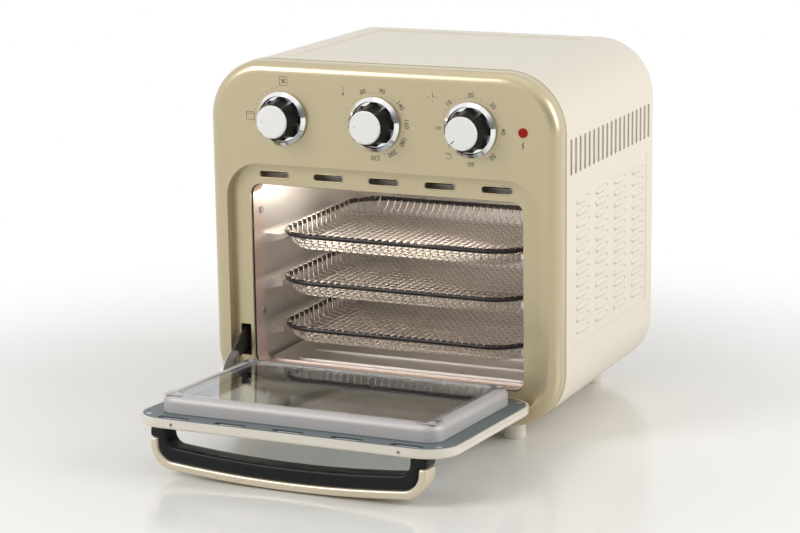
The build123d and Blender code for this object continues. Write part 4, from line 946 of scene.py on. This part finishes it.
@dataclass
class Slits:
    """The upright slits of both side walls, each with a rolled edge and a bent vane behind it, both in
    a darker tan that is painted shade inside the slit.
    """

    count: int = 19
    pitch: float = 11.3
    middle_z: float = 234.5
    width: float = 3.6
    height: float = 31.0
    point: float = 1.0
    roll: float = 1.0
    roll_out: float = 1.2
    inset: float = 0.9
    sink: float = 1.5
    over: float = 0.5
    wall: float = 0.4
    fullness: int = 6
    steps: int = 12
    bend: tuple[Pair, ...] = ((-2.0, 0.15), (-1.1, 0.75), (0.2, 1.0), (1.3, 0.8), (2.0, 0.15))

    def build(self) -> None:
        """Build the vanes and the edges of both walls."""
        # the vanes and rolled edges are painted darker tan as the shade inside each slit
        rolled = Wire(self.roll, VANE_SHADE, 6, closed=True)
        for side, word in SIDES:
            places = wall_places(
                side * (WALL_X - self.inset), self.middle_z, self.count, 1, self.pitch, 0.0
            )
            vanes = repeated(f"{word}_slit_vanes", self._vane(side), places, VANE_SHADE, "oven")
            edge = self._edge(side)
            edges = [[place @ spot for spot in edge] for place in places]
            rolled.piece(f"{word}_slit_edges", edges, "oven")

    def _vane(self, side: int) -> Mesh:
        """Return the vane behind one slit, hollow towards the outside.

        Args:
            side: 1 on the right wall and -1 on the left.

        Returns:
            The vane's mesh, round the origin.
        """
        grid = []
        for row in range(self.steps + 1):
            up = -1.0 + 2.0 * row / self.steps
            sink = self.sink * math.sqrt(max(1.0 - up**self.fullness, 0.0))
            height = up * (self.height / 2 + self.over)
            grid.append([Vector((-side * sink * deep, y, height)) * MM for y, deep in self.bend])
        return bent_sheet(grid, side, self.wall, "vane")

    def _edge(self, side: int) -> list[Vector]:
        """Return the rolled edge of one slit, with pointed ends.

        Args:
            side: 1 on the right wall and -1 on the left.

        Returns:
            The points of the edge, round the origin.
        """
        wide, high = self.width / 2, self.height / 2
        low = high - self.point
        outline = ((-wide, -low), (0, -high), (wide, -low), (wide, low), (0, high), (-wide, low))
        return [Vector((side * self.roll_out, y, z)) * MM for y, z in outline]


@dataclass
class FrontLines:
    """The seam between the front and the shell, and a black line round the mouth: painted shade of the
    gap between the front and the cavity frame.
    """

    body_half: float = 165.0
    body_height: float = 308.0
    body_low_r: float = 48.0
    body_high_r: float = 52.0
    seam_width: float = 0.9
    seam_depth: float = 19.0
    mouth_half: float = 130.0
    mouth_low: float = 30.0
    mouth_high: float = 197.0
    mouth_r: float = 10.0
    shade_line_width: float = 1.8
    shade_line_depth: float = 12.1

    def build(self) -> None:
        """Build the seam and the painted shade line round the mouth."""
        outline = rounded_box(self.body_half, 0.0, self.body_height, self.body_low_r, self.body_high_r)
        path = [at(x, self.seam_depth, z) for x, z in outline]
        seam = Wire(self.seam_width, SEAM, closed=True).piece("front_seam", [path], "oven")
        # painted shade: a black line in the gap round the mouth
        outline = rounded_box(
            self.mouth_half, self.mouth_low, self.mouth_high, self.mouth_r, self.mouth_r
        )
        path = [at(x, self.shade_line_depth, z) for x, z in outline]
        shade_line_piece = Wire(self.shade_line_width, BLACK_GAP_SHADE, closed=True).piece("mouth_seal", [path], "oven")


DIAL_X = -2.8
DIAL_PITCH = 89.0
DIAL_Z = 258.6


def dial_x(index: int) -> float:
    """Return how far right a dial's axis is, the first dial being 0."""
    return DIAL_X + DIAL_PITCH * (index - 1)


class Mark(Enum):
    """Pictures printed beside the dials."""

    OVEN = "oven"
    FAN = "fan"
    HEAT = "heat"
    CLOCK = "clock"
    HAND = "hand"
    BOLT = "bolt"


def box_line(wide: float, high: float) -> list[Pair]:
    """Return a line round a box, from half its width and half its height."""
    return [(-wide, -high), (wide, -high), (wide, high), (-wide, high), (-wide, -high)]


def blade_line(angle: float, bow: float = 1.7, tip: float = 2.7, lag: float = 0.5) -> list[Pair]:
    """Return one bent blade of the fan's picture.

    Args:
        angle: which way its tip points, in degrees.
        bow: how far out it is bent.
        tip: how far out it ends.
        lag: how far the bend is turned from the tip, in radians.

    Returns:
        Its points.
    """
    turn = math.radians(angle)
    bend = (bow * math.cos(turn + lag), bow * math.sin(turn + lag))
    return [(0.0, 0.0), bend, (tip * math.cos(turn), tip * math.sin(turn))]


FINE_LINE = 0.45
CLOCK_R = 3.6
MARK_LINES: dict[Mark, tuple[tuple[float, list[Pair]], ...]] = {
    Mark.OVEN: ((FINE_LINE, box_line(4.0, 3.4)), (FINE_LINE, [(-4.0, 1.8), (4.0, 1.8)])),
    Mark.FAN: (
        (FINE_LINE, box_line(3.8, 3.8)), *((0.9, blade_line(45 + 90 * step)) for step in range(4)),
    ),
    Mark.HEAT: ((0.5, [(0.0, -3.0), (0.0, 3.6)]),),
    Mark.CLOCK: (
        (FINE_LINE, arc_points(0.0, 0.0, CLOCK_R, -15, 30, 16)),
        (0.55, [(0.0, CLOCK_R), (0.0, 0.0), (1.8, 0.0)]),
    ),
    Mark.HAND: (
        (FINE_LINE, arc_points(0.0, 0.0, 2.4, 200, 230, 16)),
        *((FINE_LINE, [(1.2 * finger - 2.0, 1.2), (1.2 * finger - 2.6, 3.4)]) for finger in range(4)),
    ),
    Mark.BOLT: ((0.85, [(0.9, 3.0), (-1.1, 0.1), (0.9, 0.1), (-0.9, -3.0)]),),
}
MARK_DISCS: dict[Mark, tuple[Triple, ...]] = {
    Mark.HEAT: ((0.0, -3.0, 1.0),),
    Mark.CLOCK: ((-CLOCK_R, 0.0, 0.5), (0.0, -CLOCK_R, 0.5)),
}


@dataclass
class DialPrint:
    """Numbers, dots and small pictures printed on the front.

    Angles are in degrees from the top of a dial, clockwise. A picture has its dial and its place
    from that dial's axis.
    """

    number_ring: float = 29.4
    dot_ring: float = 27.3
    dot: float = 0.42
    text_size: float = 6.0
    weight: float = 0.09
    lift: float = 0.06
    modes: tuple[float, ...] = tuple(-76.0 + 11.0 * step for step in range(7))
    heats: tuple[tuple[str, float], ...] = (
        ("80", -22.0), ("90", 14.0), ("140", 54.0), ("160", 87.0), ("180", 118.0),
        ("200", 147.0), ("230", 180.0),
    )
    heat_dots: tuple[float, ...] = (
        -88.0, -76.0, -64.0, -52.0, -40.0, -8.0, 0.0, 27.0, 34.0, 41.0, 70.0, 102.0, 133.0, 162.0,
    )
    minutes: tuple[tuple[str, float], ...] = (
        ("0", -90.0), ("10", -43.0), ("20", 0.0), ("30", 43.0), ("40", 90.0), ("50", 138.0),
        ("60", 180.0),
    )
    minute_parts: int = 4
    disc_steps: int = 12
    pictures: tuple[tuple[Mark, int, float, float], ...] = (
        (Mark.OVEN, 0, -31.5, 1.0), (Mark.FAN, 0, 1.5, 33.0), (Mark.HEAT, 1, -30.0, 27.4),
        (Mark.CLOCK, 2, -35.0, 26.3), (Mark.HAND, 2, -20.5, -24.0), (Mark.BOLT, 2, 47.3, -11.0),
    )

    def build(self) -> None:
        """Print every mark on the front and join them in one piece."""
        form = bmesh.new()
        for index, numbers in ((1, self.heats), (2, self.minutes)):
            for label, angle in numbers:
                self._text(form, index, label, angle)
        between = [
            first + (last - first) * part / self.minute_parts
            for (_, first), (_, last) in zip(self.minutes, self.minutes[1:])
            for part in range(1, self.minute_parts)
        ]
        for index, angles in enumerate((self.modes, self.heat_dots, between)):
            for angle in angles:
                self._disc(form, *self._round(index, self.dot_ring, angle), self.dot)
        for mark, index, across, up in self.pictures:
            self._picture(form, mark, dial_x(index) + across, DIAL_Z + up)
        mesh = bpy.data.meshes.new("dial_print")
        bmesh.ops.recalc_face_normals(form, faces=form.faces)
        for face in form.faces:
            if face.normal.y > 0:
                face.normal_flip()
        form.to_mesh(mesh)
        form.free()
        new_piece("dial_print", mesh, PRINT, "oven")

    def _round(self, index: int, ring: float, angle: float) -> Pair:
        """Return a place on a ring round a dial, the first dial being 0."""
        turn = math.radians(angle)
        return dial_x(index) + ring * math.sin(turn), DIAL_Z + ring * math.cos(turn)

    def _face(self, form: Form, outline: list[Pair]) -> None:
        """Print one filled outline, its points given to the right and upwards."""
        form.faces.new([form.verts.new(at(x, -self.lift, z)) for x, z in outline])

    def _text(self, form: Form, index: int, label: str, angle: float) -> None:
        """Print one number, its head away from the dial.

        Args:
            form: the form that it joins.
            index: the dial, the first being 0.
            label: the number.
            angle: where it is round the dial.
        """
        curve = bpy.data.curves.new("number", "FONT")
        curve.body = label
        curve.size = self.text_size * MM
        curve.offset = self.weight * MM
        curve.align_x = "CENTER"
        curve.align_y = "CENTER"
        mesh = plain_mesh(linked("number", curve), "number")
        x, z = self._round(index, self.number_ring, angle)
        stand = Matrix.Rotation(math.radians(90), 4, "X")
        spin = Matrix.Rotation(math.radians(angle), 4, "Y")
        mesh.transform(Matrix.Translation(at(x, -self.lift, z)) @ spin @ stand)
        form.from_mesh(mesh)

    def _disc(self, form: Form, x: float, z: float, radius: float) -> None:
        """Print one filled disc."""
        gap = 360 // self.disc_steps
        self._face(form, arc_points(x, z, radius, 0, 360 - gap, self.disc_steps - 1))

    def _stroke(self, form: Form, points: list[Pair], width: float) -> None:
        """Print a line of even width.

        Args:
            form: the form that it joins.
            points: the points that it passes through.
            width: its width.
        """
        for (x0, z0), (x1, z1) in zip(points, points[1:]):
            length = math.hypot(x1 - x0, z1 - z0)
            nx, nz = -(z1 - z0) / length * width / 2, (x1 - x0) / length * width / 2
            self._face(
                form,
                [(x0 + nx, z0 + nz), (x1 + nx, z1 + nz), (x1 - nx, z1 - nz), (x0 - nx, z0 - nz)],
            )

    def _picture(self, form: Form, mark: Mark, x: float, z: float) -> None:
        """Print one picture.

        Args:
            form: the form that it joins.
            mark: which picture it is.
            x: its middle, to the right.
            z: its middle, upwards.
        """
        for width, line in MARK_LINES[mark]:
            self._stroke(form, [(x + across, z + up) for across, up in line], width)
        for across, up, radius in MARK_DISCS.get(mark, ()):
            self._disc(form, x + across, z + up, radius)


@dataclass
class KnobMarks:
    """Pointers on the caps of the three dials: a dot on the first two, a line on the third.

    Each pointer has its middle from the dial's axis, its angle, its length and its width.
    """

    face: float = 22.64
    height: float = 0.12
    steps: int = 6
    pointers: tuple[tuple[float, float, float, float, float], ...] = (
        (-9.0, 0.0, 180.0, 0.9, 0.9), (-9.0, 0.0, 180.0, 0.9, 0.9), (-7.6, -7.6, 225.0, 4.6, 0.8),
    )

    def build(self) -> None:
        """Build the pointer of each dial."""
        lift = Vector((0.0, -self.height * MM, 0.0))
        for index, (knob, pointer) in enumerate(zip(KNOBS, self.pointers)):
            across, up, angle, length, width = pointer
            outline = stadium(dial_x(index) + across, DIAL_Z + up, length, width, angle, self.steps)
            mesh = sheet_of([at(x, -self.face, z) for x, z in outline], lift, f"{knob}_pointer")
            new_piece(f"{knob}_pointer", mesh, PRINT, f"{knob}_knob")


@dataclass
class Door:
    """The rounded handle, the screw heads and the fine lines of the door."""

    skin: float = PIVOT_DEPTH
    inner: float = 5.8
    box: float = 15.0
    handle_width: float = 251.0
    handle_low: float = 172.0
    handle_height: float = 20.0
    reach: float = 36.0
    bow: float = 5.0
    bow_steps: int = 24
    corner: float = 22.0
    least_corner: float = 10.0
    leg: float = 15.0
    bar: float = 20.0
    cover: float = 7.4
    cover_start: float = 9.0
    cover_round: float = 2.4
    cover_steps: int = 4
    grip_round: float = 2.8
    grip_steps: int = 5
    slot_along: float = 186.8
    lip: float = 1.1
    lip_start: float = 3.0
    lip_end: float = 0.8
    lip_drop: float = 1.3
    lip_sink: float = 0.6
    edge_x: float = 144.4
    groove: float = 0.52
    groove_sink: float = 2.0
    groove_steps: range = range(12, 169, 4)
    clip: float = 0.8
    clip_head: Pair = (3.2, 1.05)
    clip_screws: tuple[Pair, ...] = ((-119.0, 21.5), (119.0, 21.5), (-119.0, 166.5), (119.0, 166.5))
    flange_head: Pair = (2.6, 0.55)
    flange_screws: tuple[Pair, ...] = ((-132.0, 9.0), (132.0, 9.0), (-132.0, 181.5), (132.0, 181.5))
    dome: tuple[Pair, ...] = ((1.0, 0.0), (1.0, 0.29), (0.91, 0.59), (0.69, 0.86), (0.41, 1.0))
    cross_arm: Pair = (0.36, 0.95)
    cross_corner: Pair = (0.13, 0.71)
    cross_floor: float = 0.33
    head_steps: int = 24

    def spot(self, x: float, along: float, inward: float) -> Vector:
        """Return a place on the open door.

        Args:
            x: millimetres to the right.
            along: millimetres from the pivot to the free edge.
            inward: millimetres towards the inside of the door.

        Returns:
            The place in metres.
        """
        out = Vector((0.0, -math.cos(DOOR_TILT), math.sin(DOOR_TILT)))
        sideways = Vector((x * MM, 0.0, 0.0))
        return DOOR_PIVOT + sideways + out * along * MM + DOOR_INWARD * inward * MM

    def build(self) -> None:
        """Build the handle, the screw heads and the fine lines."""
        lift = self.spot(0, self.handle_height, 0) - self.spot(0, 0, 0)
        outer = self._band(0.0, 0.0, self.skin + self.cover_start)
        inner = self._band(self.cover, self.cover, self.skin + self.cover_start)
        solid = sheet_of(outer + inner[::-1], lift, "cover")
        cover = bevelled(solid, self.cover_round, self.cover_steps, "handle_cover_round")
        piece = new_piece("handle_cover_round", cover, HANDLE_GLOSS, "door")
        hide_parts("handle_cover")
        solid = sheet_of(self._grip(), lift, "grip")
        grip = bevelled(solid, self.grip_round, self.grip_steps, "handle_grip_round")
        piece = new_piece("handle_grip_round", grip, BLACK_PLASTIC, "door")
        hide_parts("handle_grip")
        self._screws()
        self._lines()

    def _band(self, side: float, low: float, top: float) -> list[Vector]:
        """Return the bowed outline of the handle from its left end to its right end.

        Args:
            side: how far the outline is drawn in at the sides.
            low: how far it is drawn in at the bar.
            top: how far outside the pivot it starts.

        Returns:
            The points of the outline.
        """
        half = self.handle_width / 2 - side
        out = self.skin + self.reach - low
        radius = max(self.corner - low, self.least_corner)
        span = half - radius
        bowed = [-span + 2 * span * step / self.bow_steps for step in range(1, self.bow_steps)]
        points = [
            (-half, top),
            *arc_points(-span, out - radius, radius, 180, -90, CORNER_STEPS),
            *((x, out + self.bow * (1 - (x / span) ** 2)) for x in bowed),
            *arc_points(span, out - radius, radius, 90, -90, CORNER_STEPS),
            (half, top),
        ]
        return [self.spot(x, self.handle_low, -height) for x, height in points]

    def _grip(self) -> list[Vector]:
        """Return the outline of the grip with its two wide legs."""
        half = self.handle_width / 2
        depths = (self.skin, self.skin + self.cover_start)
        left, right = (
            [self.spot(end, self.handle_low, -depth) for depth in depths] for end in (-half, half)
        )
        shell = self._band(self.cover, self.cover, self.skin + self.cover_start)
        hollow = self._band(self.leg, self.bar, self.skin)
        return left + shell + right[::-1] + hollow[::-1]

    def _screws(self) -> None:
        """Set the domed heads on the clips and the low ones on the flange."""
        tilt = Matrix.Rotation(-DOOR_TILT, 4, "X")
        for kind, spots, head, level in (
            ("clip", self.clip_screws, self.clip_head, self.inner + self.box + self.clip),
            ("flange", self.flange_screws, self.flange_head, self.inner),
        ):
            for number, (x, along) in enumerate(spots, 1):
                place = Matrix.Translation(self.spot(x, along, level)) @ tilt
                piece = repeated(
                    f"{kind}_screw_head_{number}", self._head(*head), [place], ZINC_STEEL, "door"
                )
                if kind == "clip" and number == 1:
                    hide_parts("door_screws")

    def _head(self, wide: float, high: float) -> Mesh:
        """Return a low domed screw head with a cross recess.

        Args:
            wide: its radius in millimetres.
            high: its height in millimetres.

        Returns:
            The head's mesh, standing on the origin.
        """
        form = bmesh.new()
        steps = range(self.head_steps)
        rings = [[share] * self.head_steps for share in self.dome]
        arm_gap = self.head_steps // 4
        rings.append([self.cross_corner if step % arm_gap else self.cross_arm for step in steps])
        loops = []
        for ring in rings:
            loop = []
            for step, (out, up) in zip(steps, ring):
                turn = math.tau * step / self.head_steps
                reach = wide * out
                place = Vector((reach * math.cos(turn), reach * math.sin(turn), high * up))
                loop.append(form.verts.new(place * MM))
            loops.append(loop)
        floor = form.verts.new((0.0, 0.0, self.cross_floor * high * MM))
        for step in steps:
            following = (step + 1) % self.head_steps
            for lower, upper in zip(loops, loops[1:]):
                form.faces.new((lower[step], lower[following], upper[following], upper[step]))
            form.faces.new((loops[-1][step], loops[-1][following], floor))
        form.faces.new(loops[0][::-1])
        return mesh_of(form, "screw_head", smooth=False)

    def _lines(self) -> None:
        """Draw the lips of the flange slots in bright aluminium as a painted highlight, and the groove
        along both sides of the rim.
        """
        radius = VENT_HEIGHT / 2
        half = VENT_WIDTH / 2 - radius
        ends = (self.lip_start - half, half + radius - self.lip_end)
        along = self.slot_along + radius - self.lip_drop
        lips = [
            [self.spot(step * VENT_PITCH + end, along, self.inner - self.lip_sink) for end in ends]
            for step in VENT_STEPS
        ]
        # painted highlight: the slot lips belong to the dark flange but are drawn bright to stand for
        # their highlights
        piece = Wire(self.lip, ALUMINIUM).piece("flange_slot_lips", lips, "door")
        level = self.inner - self.groove_sink
        grooves = [
            [self.spot(side * self.edge_x, along, level) for along in self.groove_steps]
            for side, _ in SIDES
        ]
        Wire(self.groove, SEAM).piece("rim_grooves", grooves, "door")


@dataclass
class Spring:
    """The coil spring that pulls on the door link, inside the left of the body."""

    x: float = -139.3
    tail_y: float = 56.1
    tail_z: float = 77.4
    back: float = 186.0
    radius: float = 3.3
    wire: float = 1.4
    turns: int = 44
    turn_steps: int = 10
    ring: float = 3.5
    shift: float = 1.0
    eye_turn: float = 300.0
    eye_steps: int = 10
    short: float = 92.0

    def build(self) -> None:
        """Build the spring as coiled wire."""
        piece = Wire(self.wire, ZINC_STEEL, 6).piece("spring_coil", [self._coil()], "oven")
        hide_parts("door_spring")
        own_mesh(piece)

    def _coil(self) -> list[Vector]:
        """Return the wire's centre line: an eye, the coil and the other eye."""
        front_eye = arc_points(
            self.tail_y + self.ring, self.x, self.ring, 330, -self.eye_turn, self.eye_steps
        )
        path = [at(x, y, self.tail_z) for y, x in front_eye]
        start = self.tail_y + 2 * self.ring + self.shift
        end = self.back - 2 * self.ring + self.shift
        count = self.turns * self.turn_steps
        coil = arc_points(self.x, self.tail_z, self.radius, 0, 360 * self.turns, count)
        for step, (x, z) in enumerate(coil):
            path.append(at(x, start + (end - start) * step / count, z))
        back_eye = arc_points(self.back, self.tail_z, self.ring, -150, self.eye_turn, self.eye_steps)
        return path + [at(self.x, y, z) for y, z in back_eye]


@dataclass(frozen=True)
class Lamp:
    """A square area lamp, its side in metres and its power in watts."""

    name: str
    place: Vector
    aim: Vector
    size: float
    power: float
    color: Triple = EVEN
    seen: bool = True

    def hang(self) -> None:
        """Hang the lamp in the scene, facing its aim."""
        light = bpy.data.lights.new(self.name, "AREA")
        light.size = self.size
        light.energy = self.power
        light.color = self.color
        lamp = linked(self.name, light)
        lamp.visible_camera = self.seen
        lamp.location = self.place
        lamp.rotation_euler = (self.aim - self.place).to_track_quat("-Z", "Y").to_euler()


OVEN_MIDDLE = at(0.0, 60.0, 140.0)
WARM_LIGHT = (1.0, 240 / 255, 220 / 255)
LAMPS = (
    Lamp("left_softbox", Vector((-1.1, -1.4, 1.25)), OVEN_MIDDLE, 0.9, 18.0),
    Lamp("right_softbox", Vector((1.9, 0.2, 1.0)), OVEN_MIDDLE, 1.2, 21.0),
    Lamp("top_softbox", Vector((0.0, -0.1, 2.0)), OVEN_MIDDLE, 1.5, 3.0),
    Lamp("inner_lamp", at(20.0, 90.0, 192.0), at(-60.0, 150.0, 60.0), 0.12, 0.2, WARM_LIGHT, False),
    Lamp("wall_lamp", at(-85.0, 100.0, 188.0), at(-130.0, 70.0, 165.0), 0.05, 0.055, WARM_LIGHT, False),
)


@dataclass
class Studio:
    """Pale floor, soft lights and the camera, its eye given from the front face."""

    eye: Triple = (0.87975, -1.90206, 0.6227)
    yaw: float = 0.425
    pitch: float = 0.2227
    roll: float = -0.0134
    lens: float = 111.17
    sensor: float = 36.0
    far_clip: float = 50.0
    floor_half: float = 9.0
    floor_color: Triple = (0.90, 0.885, 0.85)
    floor_rough: float = 0.15
    floor_fade: Pair = (0.25, 0.72)
    fill: float = 0.4
    dark_side: float = math.radians(38.0)
    dark_fade: Pair = (0.72, 0.95)
    dark_level: float = 0.2

    def build(self) -> None:
        """Set up the floor, the lights and the camera."""
        self._floor()
        self._world()
        for lamp in LAMPS:
            lamp.hang()
        self._camera()
        bpy.context.scene.view_settings.view_transform = "Standard"

    def _floor(self) -> None:
        """Lay a wide pale floor that is plain white away from the oven."""
        mesh = bpy.data.meshes.new("floor")
        edge = self.floor_half
        corners = [(-edge, -edge, 0.0), (edge, -edge, 0.0), (edge, edge, 0.0), (-edge, edge, 0.0)]
        mesh.from_pydata(corners, [], [(0, 1, 2, 3)])
        mat = bpy.data.materials.new("pale_floor")
        mat.use_nodes = True
        nodes = mat.node_tree.nodes
        graph = Graph(mat.node_tree)
        near, far = self.floor_fade
        shader = graph.fill(
            nodes["Principled BSDF"],
            Base_Color=(*self.floor_color, 1.0),
            Roughness=self.floor_rough,
        )
        place = graph.add("ShaderNodeTexCoord").outputs["Object"]
        reach = graph.add("ShaderNodeVectorMath", place, operation="LENGTH")
        fade = graph.add(
            "ShaderNodeMapRange", interpolation_type="SMOOTHSTEP",
            Value=reach.outputs["Value"], From_Min=near, From_Max=far,
        )
        share = graph.add(
            "ShaderNodeMath", fade.outputs["Result"], self._seen(graph), operation="MULTIPLY"
        )
        plain = graph.add("ShaderNodeEmission")
        both = graph.add("ShaderNodeMixShader", share.outputs[0], shader.outputs[0], plain.outputs[0])
        graph.fill(nodes["Material Output"], Surface=both.outputs[0])
        mesh.materials.append(mat)
        linked("floor", mesh)

    def _seen(self, graph: Graph) -> Socket:
        """Return 1 for what is seen directly, in a reflection or through the glass.

        Args:
            graph: the node tree that asks.

        Returns:
            The socket with 1 or 0.
        """
        rays = graph.add("ShaderNodeLightPath").outputs
        clear = graph.add(
            "ShaderNodeMath", rays["Is Camera Ray"], rays["Is Transmission Ray"],
            operation="MAXIMUM",
        )
        seen = graph.add("ShaderNodeMath", clear.outputs[0], rays["Is Glossy Ray"], operation="MAXIMUM")
        return seen.outputs[0]

    def _world(self) -> None:
        """Give the scene a white surround that glossy surfaces see dim behind the viewer's right."""
        world = bpy.data.worlds.new("surround")
        bpy.context.scene.world = world
        world.use_nodes = True
        graph = Graph(world.node_tree)
        level = graph.add("ShaderNodeMapRange", Value=self._seen(graph), To_Min=self.fill)
        direction = graph.add("ShaderNodeTexCoord").outputs["Generated"]
        dark = (math.sin(self.dark_side), -math.cos(self.dark_side), 0.0)
        towards = graph.add("ShaderNodeVectorMath", direction, dark, operation="DOT_PRODUCT")
        near, far = self.dark_fade
        dim = graph.add(
            "ShaderNodeMapRange", interpolation_type="SMOOTHSTEP",
            Value=towards.outputs["Value"], From_Min=near, From_Max=far,
            To_Min=1.0, To_Max=self.dark_level,
        )
        glossy = graph.add("ShaderNodeLightPath").outputs["Is Glossy Ray"]
        only = graph.add("ShaderNodeMix", Factor=glossy, A=1.0, B=dim.outputs["Result"])
        strength = graph.add(
            "ShaderNodeMath", level.outputs["Result"], only.outputs["Result"], operation="MULTIPLY"
        )
        graph.fill(
            world.node_tree.nodes["Background"],
            Color=(1.0, 1.0, 1.0, 1.0),
            Strength=strength.outputs[0],
        )

    def _camera(self) -> None:
        """Place the camera where the picture was taken from."""
        camera = bpy.data.cameras.new("camera")
        camera.lens = self.lens
        camera.sensor_width = self.sensor
        camera.clip_end = self.far_clip
        holder = linked("camera", camera)
        ahead = Vector(
            (
                -math.sin(self.yaw) * math.cos(self.pitch),
                math.cos(self.yaw) * math.cos(self.pitch),
                -math.sin(self.pitch),
            )
        )
        right = Vector((math.cos(self.yaw), math.sin(self.yaw), 0.0))
        up = right.cross(ahead)
        level_right = right * math.cos(self.roll) + up * math.sin(self.roll)
        level_up = up * math.cos(self.roll) - right * math.sin(self.roll)
        turn = Matrix((level_right, level_up, -ahead)).transposed().to_4x4()
        eye = Vector(self.eye) + Vector((0.0, FRONT_Y * MM, 0.0))
        holder.matrix_world = Matrix.Translation(eye) @ turn
        bpy.context.scene.camera = holder


def dress_nodes() -> None:
    """Give every carried-over solid its finish."""
    for finish, names in NODE_FINISH.items():
        for name in names:
            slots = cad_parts[name].data.materials
            slots.clear()
            slots.append(finish.material())
            log.info("%s: %s", name, finish.name)


def main() -> None:
    """Dress the oven and set the stage."""
    logging.basicConfig(level=logging.INFO, format="%(name)s: %(message)s")
    dress_nodes()
    for assembly in (
        Baskets(), Louvres(), VentRims(), Slits(), FrontLines(), DialPrint(), KnobMarks(), Door(),
        Spring(), Studio(),
    ):
        assembly.build()
        log.info("%s done", type(assembly).__name__)


if __name__ == "__main__":
    main()
